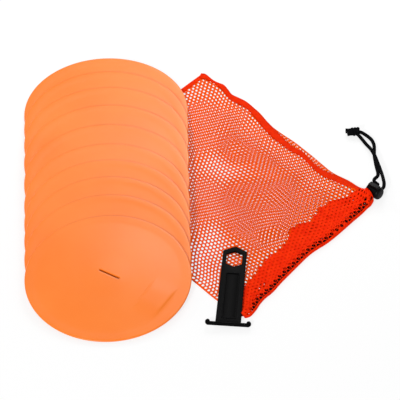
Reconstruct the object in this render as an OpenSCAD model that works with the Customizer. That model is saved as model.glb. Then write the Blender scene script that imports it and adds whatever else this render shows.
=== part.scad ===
// Set of flat rubber marker discs, fanned in a row, with its carry blade and its mesh drawstring bag.
// The discs lie partly on the flat bag, the blade lies on the bag, and the cord's tails lie on the floor.

/* [Discs] */
// Diameter of a marker disc
disc_d = 190; // [170:1:210]
// Thickness of a disc at its rim
disc_t = 2.5; // [1.5:0.1:4]
// Mean step from one fanned disc to the next
fan_step = 31.75; // [26:0.25:36]
// Gap between a disc and the disc that it lies on
lay_gap = 0.3; // [0.2:0.05:0.6]
// Length over which a draped disc bends
bend_l = 40; // [20:1:60]
// Width of the raised rim band
rim_w = 9; // [4:0.5:12]
// Height of the rim band above the field
rim_h = 0.3; // [0.1:0.05:0.8]
// Rise of the front disc's shallow dome
dome_h = 3.5; // [1:0.25:6]
// Length of the slit that the blade threads
slit_l = 29.6; // [29.6:0.2:36]
// Width of the slit
slit_w = 2.2; // [2.1:0.1:3]
// Length of the bare moulded plate
plate_l = 54; // [40:1:60]
// Width of the moulded plate
plate_w = 29.5; // [20:0.5:32]
// Distance of the plate's centre from the disc's centre
plate_r = 62.8; // [55:0.1:64]
// Turn of the front disc about its own axis, in degrees
front_turn = -33; // [-180:1:180]
// Turn from each disc to the next, in degrees
next_turn = -7; // [-45:1:45]

/* [Carry blade] */
// Length of the carry blade from foot to tip
carrier_l = 129.2; // [115:0.2:150]
// Width of the blade at its shoulders
blade_top_w = 27.2; // [24:0.2:29]
// Width of the blade at its foot
blade_foot_w = 29.2; // [26:0.2:29.4]
// Thickness of the blade
blade_t = 2; // [1.2:0.1:2.1]
// Height of the pointed tip above its shoulders
tip_h = 8; // [4:0.5:12]
// Material between the tip and the finger hole
tip_wall = 8.4; // [5:0.2:12]
// Width of the six-sided finger hole
hole_w = 18; // [14:0.5:19]
// Length of the finger hole from point to point
hole_l = 25; // [20:0.5:30]
// Length of the finger hole's straight sides
hole_side = 16; // [10:0.5:18]
// Diameter of the round foot bar
foot_d = 4; // [3.4:0.2:6]
// Distance between the middles of the foot's knobs
foot_span = 46.5; // [38:0.5:56]
// Diameter of a knob
knob_d = 5; // [4:0.1:8]
// How far a knob is turned up from the foot bar
knob_rise = 3; // [2:0.2:6]
// Width of the sunk panel in the blade
panel_w = 13.8; // [8:0.2:18]
// Length of the sunk panel
panel_l = 72; // [40:1:76]
// Depth of the sunk panel
panel_in = 0.5; // [0.2:0.1:0.8]
// Distance from the foot's lower side to the panel
panel_up = 12; // [8:1:18]
// Width of the rail on each side of the panel
rail_w = 1.6; // [0.8:0.1:3]
// Height of the rails above the blade
rail_h = 0.4; // [0.2:0.1:0.8]
// How far the foot's middle lies past the bag's front corner, along the mouth
carrier_past = 27.3; // [26:0.1:36]
// How far the foot's middle lies in from the line of the bag's mouth
carrier_in = 11.4; // [8:0.2:14]
// Turn of the blade from the bag's mouth, in degrees
carrier_turn = 32.4; // [28:0.2:38]
// Least gap between the discs and the carrier's foot
carrier_gap = 12; // [6:1:13]
// How far the blade is rolled over onto its right edge, in degrees
carrier_roll = 3; // [0:0.5:4]

/* [Bag] */
// How far the lock corner lies right of the discs' edge
bag_right = 210; // [200:1:225]
// How far the lock corner lies in front of the back disc's middle
bag_front = 158; // [150:1:175]
// Width of the bag's mouth
mouth_w = 239; // [230:1:250]
// Length of the seamed side
seam_l = 295.7; // [285:0.1:305]
// Width of the seamed bottom
bottom_w = 235; // [225:1:245]
// Direction of the mouth from the lock corner, in degrees
mouth_a = 232.6; // [228:0.1:236]
// Direction of the seamed side from the lock corner, in degrees
seam_a = 130.75; // [128:0.05:134]
// Direction of the bottom from the seamed side, in degrees
bottom_a = 226.1; // [223:0.1:230]
// Thickness of one ply of mesh
net_t = 0.5; // [0.3:0.05:0.8]
// Gap between the two plies
ply_gap = 0.1; // [0.1:0.05:0.3]
// Open share of a net cell's side
mesh_open = 0.75; // [0.5:0.05:0.8]
// How far the upper ply stands up in the open part of the bag
billow = 1.9; // [0.5:0.1:3]
// Flat margin of the upper ply along its sides
flat_margin = 22; // [21:1:30]
// Length over which the upper ply rises
rise_l = 34; // [20:1:45]
// Width of a seam binding
bind_w = 6; // [4:0.5:8]
// Thickness of the side binding
bind_t = 0.8; // [0.5:0.1:1.2]
// How far the side binding strays in from the edge
bind_drift = 10; // [4:1:12]
// Width of the doubled mouth hem
hem_w = 38; // [30:1:44]
// Thickness of the doubled hem
hem_t = 1; // [0.7:0.1:1.4]
// How far the hem's channels start from the bag's corners
channel_in = 16; // [14:1:22]
// How far the upper hem takes to come down from its crest over the lower channel
hem_fall = 3.5; // [3:0.5:6]
// Room left in the hems round the lock
lock_room = 0.5; // [0.4:0.1:2]

/* [Cord and lock] */
// Diameter of the drawcord
cord_d = 3.4; // [2.6:0.1:3.6]
// Clearance between the cord and its channel
channel_gap = 0.25; // [0.2:0.05:0.4]
// Wall of the channel round the cord
channel_wall = 0.4; // [0.3:0.05:0.5]
// Distance from the mouth's edge to the upper channel's middle
upper_in = 3.4; // [3:0.1:3.6]
// Distance between the two channels' middles
channel_step = 5.2; // [5.1:0.1:6.5]
// How far the lock's middle lies right of the bag's lock corner
lock_right = 1.5; // [0:0.5:2]
// How far the lock's middle lies behind the bag's lock corner
lock_back = 6; // [5:0.5:8]
// Direction in which the cords run through the lock, in degrees
lock_turn = 48; // [40:1:54]
// Diameter of the cord lock's barrel
lock_d = 14.6; // [14.4:0.2:17]
// Length of the barrel
lock_l = 18.2; // [18:0.2:24]
// Chamfer of the barrel's ends
lock_edge = 1.6; // [0.8:0.2:1.8]
// Distance between the barrel's two cord holes
lock_hole_step = 8.2; // [6:0.2:8.2]
// Diameter of the cord holes
lock_hole_d = 4.2; // [4:0.1:4.4]
// Thickness of the barrel under the spring
lock_floor = 1.4; // [1:0.1:1.4]
// Thickness of the plunger, along the cords
plunger_t = 5.6; // [5:0.2:6.4]
// Running clearance round the plunger
plunger_gap = 0.3; // [0.2:0.05:0.4]
// Wall of the plunger round its slot
plunger_web = 1; // [0.8:0.1:1.1]
// How far the plunger's button stands out of the barrel
button_out = 2.4; // [2.2:0.2:4]
// Travel of the button
button_travel = 1.7; // [1:0.1:1.7]
// Diameter of the spring's wire
spring_wire = 0.45; // [0.35:0.05:0.45]
// Lift of the barrel off the floor
lock_lift = 0.3; // [0.1:0.05:0.5]
// Diameter of the end knot
knot_d = 9.6; // [8.6:0.2:12]
// Length of the end knot
knot_l = 12; // [10:0.5:16]
// Length of the cut cord ends past the knot
knot_tail = 2.5; // [2:0.5:12]

/* [Hidden] */
$fn = 96;
// Overrun of every cut
over = 1;
orange = [1, 0.55, 0.28];
net_red = [0.96, 0.25, 0.08];
black = [0.1, 0.1, 0.11];
steel = [0.7, 0.7, 0.72];

// Steps of the hand-fanned row, as shares of the mean step, from the back disc to the front one
step_share = [0.83, 0.95, 1.05, 1.14, 1.14, 0.93, 0.92, 0.96, 1.07];
last = len(step_share);
disc_r = disc_d / 2;
field_r = disc_r - rim_w;
pitch = disc_t + lay_gap;
slope = pitch / fan_step;
tilt = atan(slope);
bend = bend_l / 2;
bend_n = 8;
dome_n = 12;
net_top = 2 * net_t + ply_gap;
// The back disc's drooping front edge lies just above the bag's two plies
row_base = net_top + lay_gap + slope * bend / 4;

function sum_to(list, n) = n == 0 ? 0 : list[n - 1] + sum_to(list, n - 1);
// Middle of disc k along the row, 0 being the back disc
function disc_y(k) = -fan_step * sum_to(step_share, k);
// How far the draped sheet has fallen at a place along the row
function fall(y) =
    let (q = -(y + disc_r))
    q < -bend ? 0 : q > bend ? slope * q : slope * pow(q + bend, 2) / (4 * bend);
// Height of the underside of disc k at a place along the row
function underside(k, y) = row_base + pitch * k - fall(y);
// Places along the row where the profile of disc k has a point
function stations(k) = concat(
    [disc_y(k) + disc_r + over],
    [for (i = [0 : bend_n])
        let (y = -disc_r + bend * (1 - 2 * i / bend_n))
        if (y < disc_y(k) + disc_r && y > disc_y(k) - disc_r) y],
    [disc_y(k) - disc_r - over]);

function dir(a) = [cos(a), sin(a)];
in_a = mouth_a - 90;
foot_a = mouth_a - 270 + carrier_turn;
// How far the foot reaches left of the bag's lock corner
foot_reach = foot_span / 2 * cos(foot_a) + knob_d / 2
    - (mouth_w + carrier_past) * cos(mouth_a) - carrier_in * cos(in_a);
lock_corner = [disc_r + max(bag_right, foot_reach + carrier_gap), -bag_front];
front_corner = lock_corner + mouth_w * dir(mouth_a);
seam_corner = lock_corner + seam_l * dir(seam_a);
hidden_corner = seam_corner + bottom_w * dir(bottom_a);
fold_v = hidden_corner - front_corner;
fold_dir = fold_v / norm(fold_v);
// A place in the mouth's own frame: in from its edge, and along it from the lock corner
function mouth_at(in, along) = lock_corner + in * dir(in_a) + along * dir(mouth_a);
lower_in = upper_in + channel_step;
channel_r = cord_d / 2 + channel_gap;
tube_r = channel_r + channel_wall;
// Where the net begins, on the seamed side and on the folded side
seam_start = lock_corner + (hem_w + ply_gap) / cos(seam_a - in_a) * dir(seam_a);
fold_start = front_corner + (hem_w + ply_gap) / (fold_dir * dir(in_a)) * fold_dir;
seam_end = seam_corner - (bind_w + ply_gap) * dir(seam_a);
fold_end = hidden_corner - (bind_w + ply_gap) * fold_dir;

lock_r = lock_d / 2;
hole_left = -lock_hole_step / 2;
hole_right = lock_hole_step / 2;
// Middle of the whole set on the floor, which is the origin: the drawcord reaches furthest right, at the lock
right_x = lock_corner[0] + lock_right + (hole_right + cord_d / 2) * sin(lock_turn) + lock_r * cos(lock_turn);
front_y = disc_y(last) - disc_r * cos(tilt) - disc_t * sin(tilt);
mid = [(right_x - disc_r) / 2, (disc_r + front_y) / 2, 0];

// Middle of the cord lock
lock_at = [lock_corner[0] + lock_right, lock_corner[1] + lock_back, lock_r + lock_lift] - mid;
// The plunger's slot and ends, as heights from the lock's middle
slot_half = cord_d / 2 + plunger_gap;
slot_w = lock_hole_step + 2 * slot_half;
slot_high = slot_half + button_travel;
plunger_low = -slot_half - plunger_web;
plunger_high = lock_r + button_out;
plunger_w = slot_w + 2 * plunger_web;
well_low = lock_floor - lock_r;
spring_curls = 2.5;
curl_steps = 12;
wire_sides = 6;
spring_r = (plunger_t - spring_wire) / 2;
// A place on a cord at the lock, by its hole and how far it has come through
function lock_point(hole, through) = lock_at + [
    hole * sin(lock_turn) + through * cos(lock_turn),
    -hole * cos(lock_turn) + through * sin(lock_turn), 0];
// A place in the mouth's own frame, at a height
function hem_point(in, along, up) = [mouth_at(in, along)[0], mouth_at(in, along)[1], up] - mid;

// Length of the straight stretch of a cord out of the lock, and into the knot
cord_straight = 3.5;
cord_in = 3;
// Free routes of the cord's two tails from there, on the floor right and left of the lock's middle
left_route = [
    [2.6, 13.2, 7.5], [0.1, 17.2, 7.2], [0.8, 21.2, 6.9], [3.4, 24.8, 6.5], [4.9, 28.8, 5.7], [4.9, 35.9, 3.9],
    [4.1, 43.2, 2.6], [3.2, 50.1, 1.9], [2.6, 56.3, 1.8], [2, 63, 1.8], [1.8, 70, 1.8], [2.1, 77, 1.8],
    [2, 83.6, 1.8], [0.3, 90.7, 1.8], [-2.9, 96.4, 2.1], [-6.8, 99.9, 3.2]];
right_route = [
    [11.2, 9.4, 7], [11.4, 14.9, 6.8], [10.8, 20.8, 6.6], [9.8, 27.8, 6.4], [8.5, 34.4, 6.2], [7, 41.8, 6],
    [5.3, 49, 5.9], [3.7, 56.3, 5.8], [2.1, 62.4, 5.7], [-0.1, 69, 5.5], [-2.8, 76, 4.6],
    [-5.4, 83, 3.4], [-8, 89.6, 2.8], [-10.2, 94.4, 3.4]];
// Middle of the end knot from the lock's middle, its turn, and the spread of the cut ends, in degrees
knot_at = [-19.9, 104.6, 4.9];
knot_turn = 160;
knot_spread = 14;
knot_n = 4;
cord_sides = 8;
lock_floor_at = [lock_at[0], lock_at[1], 0];
// A place on a cord at the knot's face, on one side of its middle and some way back
function knot_point(side, back) =
    let (away = [-cos(knot_turn), -sin(knot_turn), 0], across = [sin(knot_turn), -cos(knot_turn), 0])
    lock_floor_at + knot_at + (knot_l / 2 + back) * away + side * (cord_d + lay_gap) / 2 * across;

function unit(v) = v / norm(v);
function tangent(p, i) = unit(p[min(i + 1, len(p) - 1)] - p[max(i - 1, 0)]);
function ring(c, t, r, sides) =
    let (s = unit(cross(t, [0, 0, 1])), u = cross(s, t))
    [for (k = [0 : sides - 1]) c + r * (cos(360 * k / sides) * s + sin(360 * k / sides) * u)];

// One tube swept along a path, with flat ends
module tube(path, r, sides) {
    n = len(path);
    points = [for (i = [0 : n - 1]) each ring(path[i], tangent(path, i), r, sides)];
    end = (n - 1) * sides;
    walls = [for (i = [0 : n - 2], k = [0 : sides - 1], h = [0, 1])
        let (a = i * sides + k, b = i * sides + (k + 1) % sides)
        h == 0 ? [a, b, b + sides] : [a, b + sides, a + sides]];
    ends = [for (k = [1 : sides - 2], h = [0, 1])
        h == 0 ? [0, k + 1, k] : [end, end + k, end + k + 1]];
    polyhedron(points, concat(walls, ends));
}

// A slab that follows the bent sheet of disc k between two heights above its underside
module draped_slab(k, low, high) {
    at = stations(k);
    n = len(at) - 1;
    translate([-disc_r - over, 0, 0])
        rotate([90, 0, 90])
            linear_extrude(disc_d + 2 * over)
                polygon(concat(
                    [for (y = at) [y, underside(k, y) + low]],
                    [for (i = [n : -1 : 0]) [at[i], underside(k, at[i]) + high]]));
}

// Turns with a disc about its own axis
module turned(k) {
    rotate(front_turn + next_turn * (last - k))
        children();
}

module slit_cut(height) {
    translate([-slit_l / 2, -slit_w / 2, -over])
        cube([slit_l, slit_w, height + 2 * over]);
}

module plate_block(height) {
    translate([plate_r - plate_w / 2, -plate_l / 2, 0])
        cube([plate_w, plate_l, height]);
}

// A disc that the ones above press flat: rim, field, bare plate and slit
module flat_disc(k) {
    height = underside(k, disc_y(k) + disc_r) + disc_t;
    color(orange)
        translate(-mid)
            difference() {
                intersection() {
                    draped_slab(k, 0, disc_t);
                    translate([0, disc_y(k), 0])
                        cylinder(r = disc_r, h = height + over);
                }
                intersection() {
                    draped_slab(k, disc_t - rim_h, disc_t + over);
                    translate([0, disc_y(k), 0])
                        difference() {
                            cylinder(r = field_r, h = height + over);
                            turned(k) plate_block(height + 2 * over);
                        }
                }
                translate([0, disc_y(k), 0])
                    turned(k) slit_cut(height);
            }
}

// The dome's rise at a distance from the disc's middle
function dome(r) = dome_h * (1 - pow(r / field_r, 2));

// The domed sheet of the front disc, its field standing a given height over the underside
module domed_sheet(field_t) {
    rotate_extrude()
        polygon(concat(
            [for (i = [0 : dome_n]) [field_r * i / dome_n, dome(field_r * i / dome_n)]],
            [[disc_r, 0], [disc_r, disc_t], [field_r, disc_t]],
            [for (i = [dome_n : -1 : 0]) [field_r * i / dome_n, dome(field_r * i / dome_n) + field_t]]));
}

// The front disc, which nothing presses flat, lies on the slope of the others
module front_disc() {
    height = dome_h + disc_t + rim_h;
    color(orange)
        translate([0, disc_y(last), underside(last, disc_y(last))] - mid)
            rotate([tilt, 0, 0])
                turned(last)
                    difference() {
                        union() {
                            domed_sheet(disc_t - rim_h);
                            intersection() {
                                domed_sheet(disc_t + rim_h);
                                plate_block(height);
                            }
                        }
                        slit_cut(height);
                    }
}

module disc_01() { flat_disc(0); }
module disc_02() { flat_disc(1); }
module disc_03() { flat_disc(2); }
module disc_04() { flat_disc(3); }
module disc_05() { flat_disc(4); }
module disc_06() { flat_disc(5); }
module disc_07() { flat_disc(6); }
module disc_08() { flat_disc(7); }
module disc_09() { flat_disc(8); }
module disc_10() { front_disc(); }

// Outline of the blade with its pointed tip, seen from above
module blade_outline() {
    shoulder = carrier_l - tip_h;
    foot = foot_d / 2;
    polygon([
        [-blade_foot_w / 2, foot], [blade_foot_w / 2, foot],
        [blade_top_w / 2, shoulder], [0, carrier_l], [-blade_top_w / 2, shoulder]]);
}

module finger_hole() {
    middle = carrier_l - tip_wall - hole_l / 2;
    translate([0, middle])
        polygon([
            [hole_w / 2, hole_side / 2], [0, hole_l / 2], [-hole_w / 2, hole_side / 2],
            [-hole_w / 2, -hole_side / 2], [0, -hole_l / 2], [hole_w / 2, -hole_side / 2]]);
}

// Half of the foot: a round bar that turns up into a knob
module foot_half() {
    middle = foot_d / 2;
    rotate([0, 90, 0])
        cylinder(d = foot_d, h = foot_span / 2);
    translate([foot_span / 2, 0, 0]) {
        sphere(d = foot_d);
        rotate([-90, 0, 0])
            cylinder(d = foot_d, h = knob_rise);
        translate([0, knob_rise, 0])
            sphere(d = knob_d);
    }
}

// The carry blade lies over the bag's front corner
module carrier() {
    z = net_top + billow + lay_gap + blade_foot_w / 2 * sin(carrier_roll);
    color(black)
        translate(hem_point(carrier_in, mouth_w + carrier_past, z))
            rotate([0, carrier_roll, foot_a]) {
                difference() {
                    union() {
                        linear_extrude(blade_t)
                            blade_outline();
                        for (side = [-1, 1])
                            translate([side * (panel_w + rail_w) / 2 - rail_w / 2, panel_up, 0])
                                cube([rail_w, panel_l, blade_t + rail_h]);
                        translate([0, foot_d / 2, blade_t / 2]) {
                            foot_half();
                            mirror([1, 0, 0]) foot_half();
                        }
                    }
                    translate([0, 0, -over])
                        linear_extrude(blade_t + 2 * over)
                            finger_hole();
                    translate([-panel_w / 2, panel_up, blade_t - panel_in])
                        cube([panel_w, panel_l, over + rail_h]);
                }
            }
}

module bag_outline() {
    polygon([lock_corner, seam_corner, hidden_corner, front_corner]);
}

// Cells of the net along the bag and across it
net_rows = 12;
net_columns = 10;
cell_edge = (1 - mesh_open) / 2;
// A place of the net, by its shares of the way along the bag and across it
function net_plan(a, b) =
    (1 - a) * ((1 - b) * seam_start + b * fold_start) + a * ((1 - b) * seam_end + b * fold_end);
function smooth(x) = let (t = min(1, max(0, x))) t * t * (3 - 2 * t);
// How far the upper ply stands up at a place: flat beside the discs and along its two sides
function net_rise(p, across) =
    let (width = norm(fold_start - seam_start), from_side = min(across, 1 - across) * width)
    billow * smooth((p[0] - disc_r - flat_margin) / rise_l) * smooth((from_side - flat_margin) / rise_l);
function net_place(a, b) =
    let (p = net_plan(a, b))
    [p[0], p[1], net_t + ply_gap + net_rise(p, b)] - mid;
// The four corners of a cell's opening, as shares of the way along and across
function opening(i, j) = [
    for (c = [[0, 0], [0, 1], [1, 1], [1, 0]])
        [(i + cell_edge + c[0] * mesh_open) / net_rows, (j + cell_edge + c[1] * mesh_open) / net_columns]];

// The lower ply: a flat sheet with its grid of openings
module net_lower() {
    color(net_red)
        translate(-mid)
            linear_extrude(net_t)
                difference() {
                    polygon([seam_start, seam_end, fold_end, fold_start]);
                    for (i = [0 : net_rows - 1], j = [0 : net_columns - 1])
                        polygon([for (c = opening(i, j)) net_plan(c[0], c[1])]);
                }
}

// The upper ply: one thin sheet over a grid of cells, each with its opening
module net_upper() {
    w = net_columns + 1;
    corners = (net_rows + 1) * w;
    count = corners + 4 * net_rows * net_columns;
    low = concat(
        [for (i = [0 : net_rows], j = [0 : net_columns]) net_place(i / net_rows, j / net_columns)],
        [for (i = [0 : net_rows - 1], j = [0 : net_columns - 1]) each
            [for (c = opening(i, j)) net_place(c[0], c[1])]]);
    high = [for (p = low) p + [0, 0, net_t]];
    border = concat(
        [for (j = [0 : net_columns]) j],
        [for (i = [1 : net_rows]) i * w + net_columns],
        [for (j = [net_columns - 1 : -1 : 0]) net_rows * w + j],
        [for (i = [net_rows - 1 : -1 : 1]) i * w]);
    bars = [for (i = [0 : net_rows - 1], j = [0 : net_columns - 1], k = [0 : 3])
        let (
            outer = [i * w + j, i * w + j + 1, (i + 1) * w + j + 1, (i + 1) * w + j],
            inner = corners + 4 * (i * net_columns + j),
            a = outer[k], b = outer[(k + 1) % 4], c = inner + (k + 1) % 4, d = inner + k)
        each [
            [a, b, c], [a, c, d],
            [count + a, count + c, count + b], [count + a, count + d, count + c],
            [d, c, count + d], [count + d, c, count + c]]];
    rim = [for (i = [0 : len(border) - 1], h = [0, 1])
        let (a = border[i], b = border[(i + 1) % len(border)])
        h == 0 ? [b, a, count + a] : [b, count + a, count + b]];
    color(net_red)
        polyhedron(concat(low, high), concat(bars, rim));
}

// Tape folded round both plies at the bottom
module bottom_binding() {
    color(net_red)
        translate(-mid)
            linear_extrude(net_top)
                polygon([
                    seam_corner, hidden_corner,
                    hidden_corner - bind_w * fold_dir, seam_corner - bind_w * dir(seam_a)]);
}

// Places of the side binding: share of the way along the seam, and share of its drift
side_share = [
    [0, 0.2], [0.046, 0.4], [0.117, 0.74], [0.2, 0.64], [0.28, 0.35], [0.34, 0.4], [0.435, 0.05],
    [0.55, 0], [1, 0]];

// Tape sewn over the upper ply along the seamed side
module side_binding() {
    n = len(side_share) - 1;
    side = dir(seam_a + 90);
    inner = [for (s = side_share) seam_start + s[0] * (seam_end - seam_start) + s[1] * bind_drift * side];
    color(net_red)
        translate([0, 0, net_top + ply_gap] - mid)
            linear_extrude(bind_t)
                polygon(concat(inner, [for (i = [n : -1 : 0]) inner[i] + bind_w * side]));
}

// Extrudes a profile along the mouth; its x runs in from the mouth's edge and its y is height
module along_mouth(from, to) {
    translate([lock_corner[0], lock_corner[1], 0] - mid)
        rotate(in_a)
            rotate([90, 0, 0])
                translate([0, 0, -to])
                    linear_extrude(to - from)
                        children();
}

// Cuts a flat band to the bag's slanting sides
module in_bag() {
    intersection() {
        along_mouth(-hem_w, mouth_w + hem_w)
            children();
        translate(-mid)
            linear_extrude(hem_w)
                bag_outline();
    }
}

// Places a piece of the lock: its x runs along the barrel, its y along the cords
module in_lock() {
    translate(lock_at)
        rotate(lock_turn - 90)
            children();
}

// Space kept clear of the hems round the lock's barrel
module lock_space() {
    length = lock_l + 2 * lock_room;
    width = lock_d + 2 * lock_room;
    in_lock()
        translate([-length / 2, -width / 2, -lock_d])
            cube([length, width, 2 * lock_d]);
}

// Doubled hem of the lower ply with its cord channel
module hem_lower() {
    color(net_red)
        difference() {
            union() {
                in_bag()
                    translate([lower_in, 0])
                        square([hem_w - lower_in, hem_t]);
                along_mouth(channel_in, mouth_w - channel_in)
                    translate([lower_in, tube_r])
                        circle(tube_r);
            }
            along_mouth(-hem_w, mouth_w + hem_w)
                translate([lower_in, tube_r])
                    circle(channel_r);
            lock_space();
        }
}

// Doubled hem of the upper ply, which passes over the lower channel to its own
module hem_upper() {
    low = hem_t + ply_gap;
    crest = 2 * tube_r + ply_gap;
    foot = lower_in + tube_r + hem_fall;
    edge = lower_in + tube_r * 2 / 3;
    half = tube_r / 2;
    color(net_red)
        difference() {
            union() {
                in_bag()
                    translate([foot, low])
                        square([hem_w - foot, hem_t]);
                along_mouth(channel_in, mouth_w - channel_in) {
                    translate([upper_in, tube_r])
                        circle(tube_r);
                    polygon([
                        [foot + hem_t, low], [foot, low], [edge, crest], [upper_in + half, crest],
                        [upper_in + half, tube_r], [upper_in - half, tube_r],
                        [upper_in - half, crest + hem_t], [edge + hem_t / 2, crest + hem_t],
                        [foot + hem_t / 2, low + hem_t], [foot + hem_t, low + hem_t]]);
                }
            }
            along_mouth(-hem_w, mouth_w + hem_w)
                translate([upper_in, tube_r])
                    circle(channel_r);
            lock_space();
        }
}

// The cord as the bag and the lock hold it: in through one hole, round the mouth, out through the other
module drawcord() {
    far = mouth_w - channel_in;
    turn_r = channel_step / 2;
    turn_n = 6;
    route = concat(
        [lock_point(hole_left, lock_r), lock_point(hole_left, -lock_r - cord_d)],
        [hem_point(lower_in, channel_in, tube_r)],
        [for (i = [0 : turn_n])
            let (turn = 180 * i / turn_n)
            hem_point(upper_in + turn_r * (1 + cos(turn)), far + turn_r * sin(turn), tube_r)],
        [hem_point(upper_in, channel_in, tube_r)],
        [lock_point(hole_right, -lock_r - cord_d), lock_point(hole_right, lock_r)]);
    color(black)
        tube(route, cord_d / 2, cord_sides);
}

// A free tail of the cord, from its hole in the lock to its side of the knot
module tail(hole, route, side) {
    color(black)
        tube(concat(
            [for (s = [0, cord_straight]) lock_point(hole, lock_r + s)],
            [for (p = route) lock_floor_at + p],
            [for (s = [cord_in, 0]) knot_point(side, s)]), cord_d / 2, cord_sides);
}

module cord_tail_left() { tail(hole_left, left_route, 1); }
module cord_tail_right() { tail(hole_right, right_route, -1); }

// A block in the lock's frame, between two heights from its middle
module lock_block(w, t, low, high) {
    translate([-w / 2, -t / 2, low])
        cube([w, t, high - low]);
}

// Barrel of the lock, with its well for the plunger and its two cord holes
module lock_barrel() {
    half = lock_l / 2;
    room = 2 * plunger_gap;
    color(black)
        in_lock()
            difference() {
                rotate([0, 90, 0])
                    rotate_extrude()
                        polygon([
                            [0, -half], [lock_r - lock_edge, -half], [lock_r, lock_edge - half],
                            [lock_r, half - lock_edge], [lock_r - lock_edge, half], [0, half]]);
                lock_block(plunger_w + room, plunger_t + room, well_low, lock_d);
                for (hole = [hole_left, hole_right])
                    translate([hole, lock_d, 0])
                        rotate([90, 0, 0])
                            cylinder(d = lock_hole_d, h = 2 * lock_d);
            }
}

// Plunger with its button on top and the slot that both cords pass
module lock_plunger() {
    color(black)
        in_lock()
            difference() {
                lock_block(plunger_w, plunger_t, plunger_low, plunger_high);
                lock_block(slot_w, lock_d, -slot_half, slot_high);
            }
}

module lock_spring() {
    steps = curl_steps * spring_curls;
    start = well_low + spring_wire / 2 + ply_gap / 2;
    rise = plunger_low - well_low - spring_wire - ply_gap;
    path = [for (i = [0 : steps])
        let (a = 360 * i / curl_steps)
        [spring_r * cos(a), spring_r * sin(a), start + rise * i / steps]];
    color(steel)
        in_lock()
            tube(path, spring_wire / 2, wire_sides);
}

// The two tails tied together, with their cut ends past the knot
module end_knot() {
    half = knot_l / 2;
    bulge = 90 / (2 * knot_n);
    color(black)
        translate(lock_floor_at + knot_at)
            rotate(knot_turn)
                rotate([0, 90, 0]) {
                    rotate_extrude()
                        polygon(concat(
                            [[0, -half]],
                            [for (i = [-knot_n : knot_n])
                                [knot_d / 2 * cos(i * bulge), half * sin(2 * i * bulge)]],
                            [[0, half]]));
                    for (side = [-1, 1])
                        translate([0, side * cord_d / 2, 0])
                            rotate([-side * knot_spread, 0, 0])
                                cylinder(d = cord_d, h = half + knot_tail);
                }
}

disc_01();
disc_02();
disc_03();
disc_04();
disc_05();
disc_06();
disc_07();
disc_08();
disc_09();
disc_10();
carrier();
net_lower();
net_upper();
bottom_binding();
side_binding();
hem_lower();
hem_upper();
drawcord();
cord_tail_left();
cord_tail_right();
lock_barrel();
lock_plunger();
lock_spring();
end_knot();
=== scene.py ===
from math import acos, atan, cos, exp, hypot, pi, radians, sin, tan

import bmesh
import bpy
import numpy as np
from mathutils import Matrix, Vector
from mathutils.geometry import delaunay_2d_cdt


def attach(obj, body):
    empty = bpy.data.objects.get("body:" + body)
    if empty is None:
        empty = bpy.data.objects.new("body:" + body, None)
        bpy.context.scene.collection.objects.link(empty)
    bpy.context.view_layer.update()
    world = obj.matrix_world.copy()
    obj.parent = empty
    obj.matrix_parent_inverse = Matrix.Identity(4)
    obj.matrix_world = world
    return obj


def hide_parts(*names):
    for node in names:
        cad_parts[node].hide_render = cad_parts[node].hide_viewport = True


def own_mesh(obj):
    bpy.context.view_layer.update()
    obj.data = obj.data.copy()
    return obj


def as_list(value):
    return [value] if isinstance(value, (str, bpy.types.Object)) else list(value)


# Ten flat marker discs in a hand-fanned row, their mesh bag with its drawcord and cord lock, and the carry blade.
# Lengths are in millimetres and are turned into metres where a mesh is made.

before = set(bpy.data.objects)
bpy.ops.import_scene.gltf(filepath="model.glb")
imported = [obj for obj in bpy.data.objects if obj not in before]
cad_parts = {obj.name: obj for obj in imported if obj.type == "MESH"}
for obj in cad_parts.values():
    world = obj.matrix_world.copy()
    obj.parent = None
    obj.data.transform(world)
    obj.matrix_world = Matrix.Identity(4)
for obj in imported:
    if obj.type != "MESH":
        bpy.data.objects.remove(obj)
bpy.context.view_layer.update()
MM = 0.001

# The row's middle in the drawing's own layout, and the sizes that the discs, bag and cord share with the solids
MID_X, MID_Y = 110.347, -142.642
DISC_R = 95.0
DISC_T = 2.5
RIM_W = 9.0
RIM_H = 0.3
DOME_H = 3.5
PITCH = 2.8
SLOPE = 0.08819
BEND = 20.0
ROW_BASE = 1.841
DISC_X = -MID_X
DISC_Y = [142.64, 116.29, 86.13, 52.79, 16.59, -19.60, -49.13, -78.34, -108.82, -142.79]
FRONT_TURN = -33.0
NEXT_TURN = -7.0
CORD_D = 3.4
LOCK = Vector((196.153, -9.358, 7.6))
LOCK_TURN = 48.0
HOLE_OUT = 4.1
LOCK_R = 7.3


# ---- camera

AIM = Vector((-4.02, -5.81, 0.0))
CAMERA_AWAY = 10000.0
CAMERA_AZ, CAMERA_EL, CAMERA_ROLL = 0.746, 43.076, 2.508
SENSOR = 36.0
FRAME_PIXELS = 400
MM_PER_PIXEL = 1.14675


def set_camera():
    """Camera at the photograph's angle: a long lens, far away, rolled a little."""
    az, el, roll = (radians(a) for a in (CAMERA_AZ, CAMERA_EL, CAMERA_ROLL))
    ahead = Vector((-sin(az) * cos(el), cos(az) * cos(el), -sin(el)))
    level = ahead.cross(Vector((0, 0, 1))).normalized()
    above = level.cross(ahead)
    right = level * cos(roll) - above * sin(roll)
    up = level * sin(roll) + above * cos(roll)
    data = bpy.data.cameras.new("camera")
    data.sensor_width = SENSOR
    data.lens = SENSOR * CAMERA_AWAY / (FRAME_PIXELS * MM_PER_PIXEL)
    data.clip_start, data.clip_end = 0.1, 100.0
    camera = put("camera", data)
    turn = Matrix((right, up, -ahead)).transposed().to_4x4()
    camera.matrix_world = Matrix.Translation((AIM - ahead * CAMERA_AWAY) * MM) @ turn
    bpy.context.scene.camera = camera


# ---- mesh making

# The two rings that close a tube's end: shares of its radius and of its round end
CAP_RINGS = ((0.72, 0.7), (0.35, 0.95))


def smooth_step(x):
    t = np.clip(x, 0.0, 1.0)
    return t * t * (3 - 2 * t)


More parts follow.
